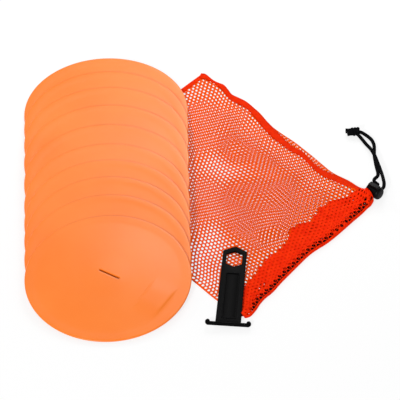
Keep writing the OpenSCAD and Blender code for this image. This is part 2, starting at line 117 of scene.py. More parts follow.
def put(name, data):
    """A new object in the scene."""
    obj = bpy.data.objects.new(name, data)
    bpy.context.scene.collection.objects.link(obj)
    return obj


def make_object(name, verts, faces, material, smooth=True):
    """One mesh object from points in millimetres."""
    mesh = bpy.data.meshes.new(name)
    mesh.from_pydata([tuple(c * MM for c in v) for v in verts], [], faces)
    mesh.validate()
    mesh.polygons.foreach_set("use_smooth", [smooth] * len(mesh.polygons))
    mesh.materials.append(material)
    mesh.update()
    return put(name, mesh)


def sharpen(obj, degrees):
    """Marks the mesh's edges sharp where its faces meet at more than an angle."""
    obj.data.set_sharp_from_angle(angle=radians(degrees))


def settle(obj, body, slot, *nodes):
    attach(obj, body)
    if nodes:
        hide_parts(*nodes)
    return obj


def turned(x, y, angle):
    """A place turned about the origin."""
    c, s = cos(angle), sin(angle)
    return c * x - s * y, s * x + c * y


def as_rows(points):
    """A line's points as rows of an array."""
    return np.array([tuple(p) for p in points], float)


def run_along(line):
    """The distance run at each point of a line."""
    return np.concatenate([[0], np.cumsum(np.linalg.norm(np.diff(line, axis=0), axis=1))])


def place_along(line, reach, at):
    """The places on a line at distances run."""
    return np.stack([np.interp(at, reach, line[:, c]) for c in range(line.shape[1])], -1)


def ring_ids(rings, count):
    """Point numbers of rings that follow each other."""
    return [list(range(i * count, (i + 1) * count)) for i in range(rings)]


def add_ring(verts, points):
    """Adds points to a list and gives their numbers."""
    first = len(verts)
    verts.extend(points)
    return list(range(first, len(verts)))


def skin(rings, ahead=True):
    """Four-sided faces between each ring of point numbers and the next."""
    faces = []
    for a, b in zip(rings, rings[1:]):
        for i in range(len(a)):
            j = (i + 1) % len(a)
            faces.append((a[i], a[j], b[j], b[i]) if ahead else (a[i], b[i], b[j], a[j]))
    return faces


def curve_through(points, per_span):
    """A smooth run of points through the given ones, flat or not, several to a span."""
    pts = [Vector(p) for p in points]
    pts = [pts[0] * 2 - pts[1]] + pts + [pts[-1] * 2 - pts[-2]]
    out = []
    for a, b, c, d in zip(pts, pts[1:], pts[2:], pts[3:]):
        for k in range(per_span):
            t = k / per_span
            out.append(0.5 * (2 * b + (c - a) * t + (2 * a - 5 * b + 4 * c - d) * t * t
                              + (3 * b - a - 3 * c + d) * t ** 3))
    out.append(pts[-2])
    return out


def evenly(points, step):
    """The same line with its points a step apart."""
    line = as_rows(points)
    reach = run_along(line)
    count = max(2, int(round(reach[-1] / step)) + 1)
    return [Vector(p) for p in place_along(line, reach, np.linspace(0, reach[-1], count)).tolist()]


def line_length(points):
    return sum((Vector(b) - Vector(a)).length for a, b in zip(points, points[1:]))


def frames_along(path):
    """Tangent, side and upward direction at each point of a path, without twist."""
    out, side = [], None
    for i, p in enumerate(path):
        tangent = (path[min(i + 1, len(path) - 1)] - path[max(i - 1, 0)]).normalized()
        if side is None:
            side = tangent.cross(Vector((0, 0, 1)))
            if side.length < 0.1:
                side = tangent.cross(Vector((0, 1, 0)))
        side = (side - tangent * side.dot(tangent)).normalized()
        out.append((tangent, side, side.cross(tangent)))
    return out


def sweep(name, path, radius_at, sides, material, end_round=0.0):
    """A closed tube along a path; radius_at gives its radius by turn and distance run."""
    frames, spokes = frames_along(path), ring_points(1.0, sides)
    rings, run = [], 0.0
    for i, (p, (_, side, up)) in enumerate(zip(path, frames)):
        run += (p - path[i - 1]).length if i else 0.0
        rings.append([p + (side * c + up * s) * radius_at(2 * pi * k / sides, run) for k, (c, s) in enumerate(spokes)])
    tips = []
    for i, out in ((0, frames[0][0] * -end_round), (-1, frames[-1][0] * end_round)):
        caps = [[path[i] + (v - path[i]) * share + out * ahead for v in rings[i]] for share, ahead in CAP_RINGS]
        rings = rings + caps if i else caps[::-1] + rings
        tips.append(path[i] + out)
    ids = ring_ids(len(rings), sides)
    count = len(rings) * sides
    faces = skin(ids[::-1])
    for tip, ring in ((count, ids[0]), (count + 1, ids[-1][::-1])):
        faces += [(tip, a, b) for a, b in zip(ring, ring[1:] + ring[:1])]
    return make_object(name, [v for ring in rings for v in ring] + tips, faces, material)


def ring_points(r, count, start=0.0):
    return [turned(r, 0.0, start + 2 * pi * k / count) for k in range(count)]


def slot_loop(length, width, turn, centre, per_end):
    """A long hole with round ends."""
    loop = []
    for end, start in ((1, -90), (-1, 90)):
        for k in range(per_end + 1):
            x, y = turned(width / 2, 0.0, radians(start + 180 * k / per_end))
            x, y = turned(end * (length - width) / 2 + x, y, turn)
            loop.append((centre[0] + x, centre[1] + y))
    return loop


def filleted(corners, radius, steps):
    """A polygon with its corners rounded."""
    out = []
    for i in range(len(corners)):
        a, b, c = (Vector(corners[j % len(corners)]) for j in (i - 1, i, i + 1))
        u, w = (a - b).normalized(), (c - b).normalized()
        half = acos(max(-1, min(1, u.dot(w)))) / 2
        middle = b + (u + w).normalized() * (radius / sin(half))
        start, end = (b + v * (radius / tan(half)) - middle for v in (u, w))
        turn = start.angle_signed(end)
        for k in range(steps + 1):
            out.append(tuple(middle + Matrix.Rotation(-turn * k / steps, 2) @ start))
    return out


def moved_in(loop, distance):
    """A convex or gently curved loop, run anticlockwise, moved in by a distance."""
    out = []
    for i, b in enumerate(Vector(p) for p in loop):
        u, w = (b - Vector(loop[i - 1])).normalized(), (Vector(loop[(i + 1) % len(loop)]) - b).normalized()
        normal = Vector((-u.y - w.y, u.x + w.x)).normalized()
        out.append(tuple(b + normal * (distance / max(0.5, normal.dot(Vector((-u.y, u.x)))))))
    return out


def triangulated(loops, free=(), holes=()):
    """Triangles over flat loops and free points, none in the loops that are holes."""
    points = []
    rings = [add_ring(points, [Vector(p) for p in loop]) for loop in loops]
    edges = [edge for ring in rings for edge in zip(ring, ring[1:] + ring[:1])]
    points += [Vector(p) for p in free]
    _, _, tris, origin, _, _ = delaunay_2d_cdt(points, edges, [], 0, 1e-5)
    tris = [tuple(origin[i][0] for i in t) for t in tris]
    cut = [set(rings[n]) for n in holes]
    return [tuple(p) for p in points], [t for t in tris if not any(ring.issuperset(t) for ring in cut)]


def carve(obj, cutters):
    """Cuts the cutters out of an object and removes them."""
    for cutter in cutters:
        cut = obj.modifiers.new("cut", "BOOLEAN")
        cut.operation, cut.solver, cut.object = "DIFFERENCE", "EXACT", cutter
    bpy.context.view_layer.update()
    dg = bpy.context.evaluated_depsgraph_get()
    mesh = bpy.data.meshes.new_from_object(obj.evaluated_get(dg))
    obj.modifiers.clear()
    obj.data = mesh
    for cutter in cutters:
        bpy.data.objects.remove(cutter)


# ---- materials

def new_group(name, inputs, outputs):
    """An empty shader node group with named sockets."""
    group = bpy.data.node_groups.new(name, "ShaderNodeTree")
    for label, value in inputs.items():
        group.interface.new_socket(name=label, in_out="INPUT", socket_type="NodeSocketFloat").default_value = value
    for label in outputs:
        group.interface.new_socket(name=label, in_out="OUTPUT", socket_type="NodeSocketFloat")
    return group, group.nodes.new("NodeGroupInput").outputs, group.nodes.new("NodeGroupOutput").inputs


def add(tree, kind, links=(), values=None, **settings):
    """A node with its settings, its values by socket name, and its links into it."""
    node = tree.nodes.new("ShaderNode" + kind)
    for key, value in settings.items():
        setattr(node, key, value)
    for key, value in (values or {}).items():
        node.inputs[key].default_value = value
    for key, source in links:
        tree.links.new(source, node.inputs[key])
    return node


def add_noise(tree, place, scale, detail, rough, **more):
    node = add(tree, "TexNoise", [("Vector", place), ("Scale", scale)],
               {"Detail": detail, "Roughness": rough, **more})
    return node.outputs["Fac"]


def make_grain_group():
    """Fine moulded grain with broad slow changes: a height, a roughness and a tint mask."""
    group, given, out = new_group(
        "moulded_grain",
        {"Grain per metre": 2500.0, "Clouds per metre": 30.0, "Roughness": 0.5, "Roughness spread": 0.1},
        ["Height", "Roughness", "Clouds"])
    place = add(group, "TexCoord").outputs["Object"]
    grain = add_noise(group, place, given[0], 3.0, 0.6)
    clouds = add_noise(group, place, given[1], 4.0, 0.55)
    centred = add(group, "Math", [(0, clouds)], {1: 0.5}, operation="SUBTRACT")
    rough = add(group, "Math", [(0, centred.outputs[0]), (1, given[3]), (2, given[2])], operation="MULTIPLY_ADD")
    for source, end in zip((grain, rough.outputs[0], clouds), out):
        group.links.new(source, end)
    return group


def make_yarn_group():
    """Fine filaments of a knitted or braided yarn: a height and a shade mask."""
    group, given, out = new_group("yarn_filaments", {"Filaments per metre": 3000.0, "Slubs per metre": 200.0},
                                  ["Height", "Shade"])
    place = add(group, "TexCoord").outputs["Object"]
    stretched = add(group, "Mapping", [("Vector", place)], {"Scale": (1.0, 0.6, 1.0), "Rotation": (0.0, 0.0, 0.7)})
    group.links.new(add_noise(group, stretched.outputs["Vector"], given[0], 2.0, 0.5, Distortion=0.6), out[0])
    group.links.new(add_noise(group, place, given[1], 3.0, 0.6), out[1])
    return group


def new_material(name, **constants):
    material = bpy.data.materials.new(name)
    material.use_nodes = True
    shader = material.node_tree.nodes["Principled BSDF"]
    for key, value in constants.items():
        shader.inputs[key.replace("_", " ")].default_value = value
    return material, material.node_tree, shader


def use_group(tree, group, *values):
    node = add(tree, "Group", node_tree=group)
    for socket, value in zip(node.inputs, values):
        socket.default_value = value
    return node.outputs


def bump(tree, shader, height, distance, strength):
    node = add(tree, "Bump", [("Height", height)], {"Distance": distance, "Strength": strength})
    tree.links.new(node.outputs["Normal"], shader.inputs["Normal"])


def two_tone(tree, shader, mask, dark, pale):
    """A base colour that drifts between two by a mask."""
    spread = add(tree, "MapRange", [("Value", mask)], {"From Min": 0.3, "From Max": 0.7})
    mix = add(tree, "Mix", [("Factor", spread.outputs["Result"])], data_type="RGBA")
    mix.inputs["A"].default_value, mix.inputs["B"].default_value = (*dark, 1.0), (*pale, 1.0)
    tree.links.new(mix.outputs["Result"], shader.inputs["Base Color"])


def make_moulded(name, grain, dark, pale, relief=None, **constants):
    """A moulded or drawn material; grain is its grain and clouds per metre, its roughness and that one's spread."""
    material, tree, shader = new_material(name, **constants)
    seen = use_group(tree, grain_group, *grain)
    two_tone(tree, shader, seen["Clouds"], dark, pale)
    tree.links.new(seen["Roughness"], shader.inputs["Roughness"])
    if relief:
        bump(tree, shader, seen["Height"], *relief)
    return material


def make_black_plastic(name, gloss):
    return make_moulded(name, (1400.0, 60.0, 0.42, 0.2), (0.0018, 0.0018, 0.0020), (0.0032, 0.0032, 0.0034),
                        (0.00005, 0.4), IOR=1.45, Specular_IOR_Level=gloss)


def make_yarn(name, dark, pale, rough, per_metre, depth):
    material, tree, shader = new_material(name, IOR=1.5, Roughness=rough, Specular_IOR_Level=0.012)
    yarn = use_group(tree, yarn_group, per_metre, 160.0)
    two_tone(tree, shader, yarn["Shade"], dark, pale)
    bump(tree, shader, yarn["Height"], depth, 0.5)
    return material


# ---- cord and its tails

LEFT_ROUTE = [(2.6, 13.2, 7.5), (0.1, 17.2, 7.2), (0.8, 21.2, 6.9), (3.4, 24.8, 6.5), (4.9, 28.8, 5.7),
              (4.9, 35.9, 3.9), (4.1, 43.2, 2.6), (3.2, 50.1, 1.9), (2.6, 56.3, 1.8), (2, 63, 1.8), (1.8, 70, 1.8),
              (2.1, 77, 1.8), (2, 83.6, 1.8), (0.3, 90.7, 1.8), (-2.9, 96.4, 2.1), (-6.8, 99.9, 3.2),
              (-11.6, 103.2, 4.3), (-17.0, 105.4, 4.9)]
RIGHT_ROUTE = [(11.2, 9.4, 7), (11.4, 14.9, 6.8), (10.8, 20.8, 6.6), (9.8, 27.8, 6.4), (8.5, 34.4, 6.2), (7, 41.8, 6),
               (5.3, 49, 5.9), (3.7, 56.3, 5.8), (2.1, 62.4, 5.7), (-0.1, 69, 5.5), (-2.8, 76, 4.6), (-6.0, 82.4, 3.5),
               (-9.2, 89.0, 2.9), (-12.7, 95.3, 3.4), (-17.6, 102.8, 4.7)]
CORD_STRAIGHT = 3.5
BRAID_R = 2.1
BRAID_STRANDS, BRAID_PITCH = 12, 5.2
KNOT_AT = Vector((-19.9, 104.6, 4.9))
KNOT_LIE = 184.0
LOCK_FLOOR = Vector((LOCK.x, LOCK.y, 0.0))
HEM_L = 239.0
LOWER_IN, UPPER_IN = 8.6, 5.1
TUBE_Z = 2.35
CHANNEL_IN = 16.0


def in_lock(x, y, z=0.0):
    """A place in the lock's own frame: x along the barrel and y along the cords."""
    x, y = turned(x, y, radians(LOCK_TURN - 90))
    return LOCK + Vector((x, y, z))


def braid_radius(depth, outer=CORD_D / 2):
    """Radius of a braided cord: two families of strands that cross and pass over each other."""
    def at(turn, run):
        lean = 2 * pi * run / BRAID_PITCH
        crossing = cos(BRAID_STRANDS / 2 * turn + lean) * cos(BRAID_STRANDS / 2 * turn - lean)
        return outer * (1 - depth + depth * (0.5 + 0.5 * crossing))
    return at


def make_tail(side, hole, route):
    """A free tail of the cord, from its hole in the lock to the knot."""
    points = [in_lock(hole, LOCK_R), in_lock(hole, LOCK_R + CORD_STRAIGHT)] + [LOCK_FLOOR + Vector(p) for p in route]
    path = [Vector((p.x, p.y, max(p.z, BRAID_R + 0.03))) for p in evenly(curve_through(points, 6), 0.5)]
    tail = sweep(f"cord_tail_{side}_braid", path, braid_radius(0.05, BRAID_R), 30, black_cord)
    return settle(tail, "bag", "cord", "cord_tail_" + side), path


# ---- build: materials

grain_group = make_grain_group()
yarn_group = make_yarn_group()
rubber = make_moulded("orange_rubber", (1800.0, 14.0, 0.39, 0.12), (0.93, 0.188, 0.006), (0.95, 0.212, 0.012),
                      (0.00006, 0.35), IOR=1.46, Specular_IOR_Level=0.55)
black_plastic = make_black_plastic("black_plastic", 0.02)
lock_plastic = make_black_plastic("lock_plastic", 0.10)
steel = make_moulded("spring_steel", (4000.0, 300.0, 0.28, 0.2), (0.52, 0.52, 0.53), (0.66, 0.66, 0.67),
                     Metallic=1.0)
black_cord = make_yarn("black_cord", (0.0028, 0.0028, 0.0032), (0.0055, 0.0055, 0.006), 0.7, 2600.0, 0.0001)
net_yarn = make_yarn("red_net_yarn", (0.87, 0.084, 0.002), (0.93, 0.102, 0.004), 0.6, 3200.0, 0.00006)
hem_yarn = make_yarn("red_hem_yarn", (0.79, 0.017, 0.001), (0.96, 0.033, 0.002), 0.6, 3200.0, 0.00006)
tape_weave = make_yarn("red_tape", (0.69, 0.020, 0.0008), (0.79, 0.028, 0.0015), 0.6, 2200.0, 0.0001)

set_camera()
tail_left, left_path = make_tail("left", -HOLE_OUT, LEFT_ROUTE)
tail_right, right_path = make_tail("right", HOLE_OUT, RIGHT_ROUTE)


# ---- discs

EDGE_STEPS = [(0.0, 0.95), (0.12, 0.55), (0.42, 0.24), (0.85, 0.06), (1.3, 0.0)]
RIM_EASE = 9.0
SWELL_H, SWELL_R = 0.65, 20.0
SLIT_L, SLIT_W = 27.2, 2.6
PLATE_R, PLATE_W, PLATE_L = 62.8, 29.5, 62.0
PLATE_H, PLATE_EASE = 0.36, 1.1
# Length of the slopes at the plate's two ends
PLATE_ENDS = 24.0
# The plate on the front disc stands out by this much more
FRONT_PLATE = 1.7
FRONT_SLIT_AT = (1.7, 2.5)
# Points round the rim and round every ring beyond FINE_FROM, and how far apart they are on the others
RIM_N, FINE_FROM, COARSE_STEP = 200, 80.0, 4.5
# Radii of the rings of points in a disc's faces
FIELD_RINGS = [92.2, 90.5, 89.0, 87.8, 86.8, 85.8, 84.8, 83.6, 82.0, 74.0, 68.0, 61.0, 54.0, 47.0, 40.0, 33.0, 26.0,
               19.0]


def underside(k, y):
    """Height of the underside of disc k at a place along the row."""
    q = -MID_Y - DISC_R - y
    bent = min(max(q + BEND, 0.0), 2 * BEND)
    return ROW_BASE + PITCH * k - SLOPE * (bent ** 2 / (4 * BEND) + max(q - BEND, 0.0))


def dome(r):
    """The front disc's low dome, which runs out softly towards the edge."""
    return DOME_H * max(0.0, 1 - (r / (DISC_R - 4.0)) ** 2) ** 1.35


def disc_top(x, y, turn, domed):
    """Height of a disc's upper face over its underside plane."""
    r = hypot(x, y)
    field_r = DISC_R - RIM_W
    step = float(smooth_step((field_r + RIM_EASE / 2 - r) / RIM_EASE))
    height = DISC_T - RIM_H * step + SWELL_H * exp(-(r / SWELL_R) ** 4)
    if domed:
        height += dome(r)
    a, b = turned(x, y, -turn)
    out, along = abs(a - PLATE_R), abs(b)
    if out < PLATE_W / 2 + 0.01 and along < PLATE_L / 2 and r < field_r + 0.01:
        ends = float(smooth_step((PLATE_L / 2 - along) / PLATE_ENDS))
        height += (PLATE_H * (FRONT_PLATE if domed else 1.0) * ends
                   * float(smooth_step((PLATE_W / 2 - out) / PLATE_EASE)))
    return height


def make_disc(k):
    """One flat rubber disc, draped over the ones behind it; the front one keeps a low dome."""
    domed = k == len(DISC_Y) - 1
    turn = radians(FRONT_TURN + NEXT_TURN * (len(DISC_Y) - 1 - k))
    slit_at = FRONT_SLIT_AT if domed else (0.0, 0.0)
    # The slit, its eased lip, and a ring of points outside them
    slit, lip, lip_out = (slot_loop(SLIT_L + wider, SLIT_W + wider, turn, slit_at, per_end)
                          for wider, per_end in ((0.0, 4), (0.7, 4), (3.0, 5)))
    free = []
    for n, r in enumerate(FIELD_RINGS):
        coarse = (max(24, int(2 * pi * r / COARSE_STEP)), 0.3 * n)
        free += ring_points(r, *((RIM_N,) if r > FINE_FROM else coarse))
    lines = [PLATE_W / 2 - PLATE_EASE * q for q in (0.0, 0.33, 0.67, 1.0)]
    for edge in [-a for a in lines] + lines:
        line = [turned(PLATE_R + edge, -PLATE_L / 2 + PLATE_L * j / 36, turn) for j in range(37)]
        free += [p for p in line if hypot(*p) < 85.0]
    free = [p for p in free if not near_slit(p, turn, slit_at)] + lip_out
    flat, tris = triangulated([ring_points(DISC_R - EDGE_STEPS[-1][0], RIM_N), lip], free, holes=(1,))

    def place(x, y, z):
        if domed:
            y, z = turned(y, z, atan(SLOPE))
            return DISC_X + x, DISC_Y[k] + y, underside(k, DISC_Y[k]) + z
        return DISC_X + x, DISC_Y[k] + y, underside(k, DISC_Y[k] + y) + z

    verts = [place(x, y, disc_top(x, y, turn, domed)) for x, y in flat]
    low_first = len(verts)
    verts += [place(x, y, dome(hypot(x, y)) if domed else 0.0) for x, y in flat]
    faces = tris + [tuple(low_first + i for i in reversed(t)) for t in tris]

    # The rounded edge, from the upper face round to the lower one, and the slit's lips and walls
    profile = [(d, DISC_T - h) for d, h in reversed(EDGE_STEPS[:-1])] + EDGE_STEPS[:-1]
    edge = [add_ring(verts, [place(x, y, z) for x, y in ring_points(DISC_R - inset, RIM_N)]) for inset, z in profile]
    walls = [add_ring(verts, [place(x, y, disc_top(x, y, turn, domed) - drop) for x, y in slit])
             for drop in (0.3, DISC_T - RIM_H - 0.3)]
    for between, first, n, ahead in ((edge, 0, RIM_N, False), (walls, RIM_N, len(lip), True)):
        upper = list(range(first, first + n))
        faces += skin([upper, *between, [low_first + i for i in upper]], ahead)
    name = f"disc_{k + 1:02d}"
    settle(make_object(name + "_sheet", verts, faces, rubber), name, "disc", name)


def near_slit(p, turn, at):
    a, b = turned(p[0] - at[0], p[1] - at[1], -turn)
    return abs(a) < SLIT_L / 2 + 2.5 and abs(b) < 3.2


for k in range(len(DISC_Y)):
    make_disc(k)


# ---- the bag's place

SEAM_EDGE = [(192.6, -18.2), (189.8, -14.3), (186.2, -11.1), (182, -2.0), (176.5, 6.0), (168.5, 15.4), (158.9, 23.5),
             (148.4, 32.0), (140.9, 41.5), (129, 57.9), (118.6, 71.0), (106.6, 86.4), (94.5, 98.4), (83.9, 110.4),
             (78, 118.7), (67.6, 138.8), (60, 148.3), (49.3, 157.4), (38.6, 166.3), (31.8, 177.5), (28.1, 185.8),
             (15.8, 195.7), (8.2, 204.1), (2, 208.4)]
MOUTH_EDGE = [(192.6, -18.2), (196.0, -21.5), (194.8, -26.5), (190.8, -31.0), (186.1, -36.3), (176.4, -47.4),
              (156.2, -71.7), (140.4, -88.8), (129.5, -97.1), (118.6, -107.6), (106, -124.7), (93.3, -141.7),
              (85.5, -152.3), (77.7, -165.2), (68.3, -174.6), (62.1, -184.1), (58.9, -191.6), (55.7, -197.0),
              (51.5, -203.5), (47, -205.0)]
FOLD_EDGE = [(47, -205.0), (40.4, -202.8), (12.2, -174.1), (-1.3, -156.9), (-14.6, -139.7), (-60, -83.0),
             (-110, -22.0), (-161.3, 39.3)]
BOTTOM_EDGE = [(2, 208.4), (-21.8, 183.7), (-60, 144.0), (-100, 102.5), (-161.3, 39.3)]
BAG_L, BAG_W = 305.0, 237.0
HEM_W = 38.0
BIND_W = 6.0


def rounded_edge(points):
    """Three rounds of corner cutting that keeps the two ends."""
    pts = [Vector(p) for p in points]
    for _ in range(3):
        cuts = [a * (1 - q) + b * q for a, b in zip(pts, pts[1:]) for q in (0.25, 0.75)]
        pts = [pts[0], *cuts, pts[-1]]
    return as_rows(pts)


def by_share(edge):
    reach = run_along(edge)
    return lambda q: place_along(edge, reach / reach[-1], q)


seam_at, mouth_at, fold_at, bottom_at = (by_share(rounded_edge(e)) for e in
                                         (SEAM_EDGE, MOUTH_EDGE, FOLD_EDGE, BOTTOM_EDGE))


def bag_place(X, Y):
    """Where a place of the flat cloth lies, X in from the mouth and Y across from the seam."""
    s, t = np.clip(X / BAG_L, 0, 1)[..., None], np.clip(Y / BAG_W, 0, 1)[..., None]
    c00, c01, c10, c11 = (np.array(p, float) for p in (SEAM_EDGE[0], MOUTH_EDGE[-1], SEAM_EDGE[-1], FOLD_EDGE[-1]))
    sides = (1 - t) * seam_at(s[..., 0]) + t * fold_at(s[..., 0])
    ends = (1 - s) * mouth_at(t[..., 0]) + s * bottom_at(t[..., 0])
    corners = (1 - s) * ((1 - t) * c00 + t * c01) + s * ((1 - t) * c10 + t * c11)
    return sides + ends - corners


def waves(x, y, seed, length):
    """A slow smooth wandering between about -1 and 1, the same each run."""
    total = np.zeros_like(x)
    rng = np.random.RandomState(seed)
    for _ in range(6):
        a, p, q = rng.uniform(0, 2 * pi), rng.uniform(0, 2 * pi), rng.uniform(0.7, 1.5)
        total += np.sin(2 * pi * q * (x * cos(a) + y * sin(a)) / length + p)
    return total / 3.0


BILLOW = 1.9
HEM_TOP = 1.85
FLAT_MARGIN, RISE_L = 22.0, 34.0
CARRIER_BOX = (12.0, 52.0, -220.0, -84.0)
PLEATS_FROM = (190.0, -12.0)
BUNCH_AT = (188.5, -13.0)
BUNCH_H = 10.0
# Shares of the bunch's height: the upper ply, the lower ply, the folds at the mouth and the cord between them
UPPER_LIFT, LOWER_LIFT, UPPER_FOLD_LIFT, LOWER_FOLD_LIFT, CORD_LIFT = 1.0, 0.15, 0.5, 0.4, 0.525


def open_share(x, y, Y):
    """1 in the bag's open part, 0 beside the discs and along the two sides."""
    from_side = np.minimum(Y, BAG_W - Y)
    return (smooth_step((x + MID_X - DISC_R - FLAT_MARGIN) / RISE_L)
            * smooth_step((from_side - FLAT_MARGIN) / RISE_L))


def under_carrier(x, y):
    lo_x, hi_x, lo_y, hi_y = CARRIER_BOX
    out = np.maximum(np.maximum(lo_x - x, x - hi_x), np.maximum(lo_y - y, y - hi_y))
    return 1 - smooth_step(out / 14.0)


def pleats(x, y):
    """Soft folds that run from the gathered corner at the lock, as a share of their full height."""
    dx, dy = x - PLEATS_FROM[0], y - PLEATS_FROM[1]
    far = np.hypot(dx, dy)
    turn = np.arctan2(dy, dx)
    fan = 0.5 + 0.5 * np.cos(15 * turn + 0.6 * np.sin(far / 17.0))
    return fan * smooth_step((far - 6.0) / 12.0) * np.exp(-(far / 46.0) ** 2)


def bunch(x, y):
    """How much the cloth is bunched up in front of the lock, from 0 to 1."""
    dx, dy = x - BUNCH_AT[0], y - BUNCH_AT[1]
    along, across = dx * -0.53 + dy * 0.85, dx * 0.85 + dy * 0.53
    return np.exp(-(along / 14.0) ** 2 - (across / 8.5) ** 2)


def gathered(x, y, share):
    """How far the folds and the bunch at the lock lift the cloth. The bunch lifts each ply by its share."""
    return 1.3 * pleats(x, y) + BUNCH_H * share * bunch(x, y)


def past_hem(X):
    """0 at the hem's inner edge and 1 well past it."""
    return smooth_step((X - HEM_W) / 26.0)


def lower_height(X, Y, x, y):
    resting = 0.27 + 0.25 * (0.5 + 0.5 * waves(x, y, 5, 90.0)) * open_share(x, y, Y)
    return resting + gathered(x, y, LOWER_LIFT) * (1 - past_hem(X))


def upper_height(X, Y, x, y):
    """The upper ply leaves the hem at the hem's own height and then rises to its own."""
    share = open_share(x, y, Y)
    roll = 0.5 * waves(x, y, 11, 75.0) * share * (1 - under_carrier(x, y))
    t = past_hem(X)
    return HEM_TOP * (1 - t) + (0.86 + BILLOW * share + roll) * t + gathered(x, y, UPPER_LIFT)


# ---- the bag's net

STRAND = 1.5
CELL_X, CELL_Y = 5.26, 4.33
CELL_SHOULDER = (CELL_Y ** 2 - CELL_X ** 2 / 4) / (2 * CELL_Y)
CELL_TIP = CELL_Y - CELL_SHOULDER
NET_T = 0.36
BORDER_W = 1.5
CLOTH_LOW, CLOTH_HIGH = 0.6, BAG_W
# Cells and holes with less area than these are left out or closed, and corners this near each other are one
LEAST_CELL, LEAST_HOLE, WELD = 0.05, 0.5, 0.02
# The flat place round which the two plies' cells lie on each other, and where they slide apart
EVEN_AT = np.array([80.0, 205.0])
EVEN_R, SLIDE_OVER = 26.0, 50.0


def cell_outline():
    half = CELL_X / 2
    return np.array([(half, -CELL_SHOULDER), (half, CELL_SHOULDER), (0, CELL_TIP), (-half, CELL_SHOULDER),
                     (-half, -CELL_SHOULDER), (0, -CELL_TIP)])


def hole_outline(fillet=0.30):
    """The rounded hole of a cell before its strands take their share: two points to each corner."""
    outer = cell_outline()
    out = []
    for i in range(6):
        a, b, c = outer[i - 1], outer[i], outer[(i + 1) % 6]
        out += [b + (a - b) * fillet, b + (c - b) * fillet]
    return np.array(out)


class Ply:
    """The net's cells in one ply of the flat cloth: they wander together, each ply a little by itself, and the ply
    slides off the other away from the place where the two are even."""

    def __init__(self, shift, own, seed, slide):
        self.own, self.seed, self.slide = own, seed, slide
        reach = int(420 / CELL_Y)
        steps = np.arange(-reach, reach + 1)
        jj, ii = np.meshgrid(steps, steps, indexing="ij")
        self.centres = np.stack([CELL_X * (ii + 0.5 * (jj % 2)) + shift[0], CELL_Y * jj + shift[1]],
                                -1).reshape(-1, 2)
        self.seen = self.strayed(self.centres)

    def strayed(self, p):
        far = np.hypot(p[..., 0] - EVEN_AT[0], p[..., 1] - EVEN_AT[1])
        apart = smooth_step((far - EVEN_R) / SLIDE_OVER) * (0.85 + 0.4 * waves(p[..., 0], p[..., 1], 57, 120.0))
        q = p.copy()
        for axis in (0, 1):
            q[..., axis] += (waves(p[..., 0], p[..., 1], 31 + axis, 95.0) + self.slide[axis] * apart
                             + self.own * waves(p[..., 0], p[..., 1], self.seed + axis, 60.0))
        return q


def polygon_area(p):
    x, y = p[..., 0], p[..., 1]
    return 0.5 * np.abs((x * np.roll(y, -1, -1) - y * np.roll(x, -1, -1)).sum(-1))


def net_mesh(ply, low_line, high_line, clipped, strand_at, surface):
    """Points and faces of a net with real holes. strand_at gives the strand's width at flat places, endless for a
    cell that is left out, and surface gives place and upward direction. clipped tells which ends are hemmed off."""
    reach = CELL_TIP + 0.5
    x, y = ply.seen.T
    near = (x > low_line(y) - reach * clipped[0]) & (x <= high_line(y) + reach * clipped[1])
    cells = ply.centres[near & (y > CLOTH_LOW - reach) & (y < CLOTH_HIGH + reach)]
    width = strand_at(*ply.strayed(cells).T)
    cells, width = cells[np.isfinite(width), None], width[np.isfinite(width), None, None]
    rim = ply.strayed(cells + cell_outline())
    inner = ply.strayed(cells + hole_outline() * np.clip(1 - width / CELL_X, 0.0, 1.0))
    for points, border in ((rim, 0.0), (inner, BORDER_W)):
        points[..., 1] = np.clip(points[..., 1], CLOTH_LOW + border, CLOTH_HIGH - border)
        if clipped[0]:
            points[..., 0] = np.maximum(points[..., 0], low_line(points[..., 1]) + border)
        if clipped[1]:
            points[..., 0] = np.minimum(points[..., 0], high_line(points[..., 1]) - border)
    there = polygon_area(rim) > LEAST_CELL
    rim, inner = rim[there], inner[there]
    is_open = polygon_area(inner) > LEAST_HOLE
    keys = np.round(rim.reshape(-1, 2) / WELD).astype(np.int64)
    _, first, index = np.unique(keys, axis=0, return_index=True, return_inverse=True)
    index = index.reshape(-1, 6)
    flat = np.concatenate([rim.reshape(-1, 2)[first], inner[is_open].reshape(-1, 2)])
    rim_n, count = len(first), len(flat)
    middle, normal = surface(*flat.T)
    # The strand's edge at a hole lies a little lower than its crest, so the yarn looks round
    half = normal * np.where(np.arange(count) < rim_n, NET_T / 2, NET_T / 4)[:, None]
    corner, hole = index[is_open], np.arange(rim_n, count).reshape(-1, 12)
    after = np.roll(hole, -1, axis=1)
    parts = (np.stack([corner, np.roll(corner, -1, axis=1), after[:, 1::2], hole[:, 1::2]], -1),
             np.stack([corner, hole[:, 1::2], hole[:, ::2]], -1), index[~is_open])
    tops = [tuple(dict.fromkeys(f)) for part in parts for f in part.reshape(-1, part.shape[-1]).tolist()]
    tops = [f for f in tops if len(f) > 2]
    sides = {side for f in tops for side in zip(f, f[1:] + f[:1])}
    walls = np.stack([after, hole, hole + count, after + count], -1).reshape(-1, 4).tolist()
    walls += [(b, a, a + count, b + count) for a, b in sides if (b, a) not in sides and min(a, b) < rim_n]
    faces = tops + [tuple(i + count for i in reversed(f)) for f in tops] + walls
    return np.concatenate([middle + half, middle - half]), faces


def with_normals(point, X, Y, step):
    """Places, and the direction across the surface at them."""
    normal = np.cross(point(X + step, Y) - point(X - step, Y), point(X, Y + step) - point(X, Y - step))
    normal /= np.maximum(np.linalg.norm(normal, axis=-1, keepdims=True), 1e-9)
    return point(X, Y), normal


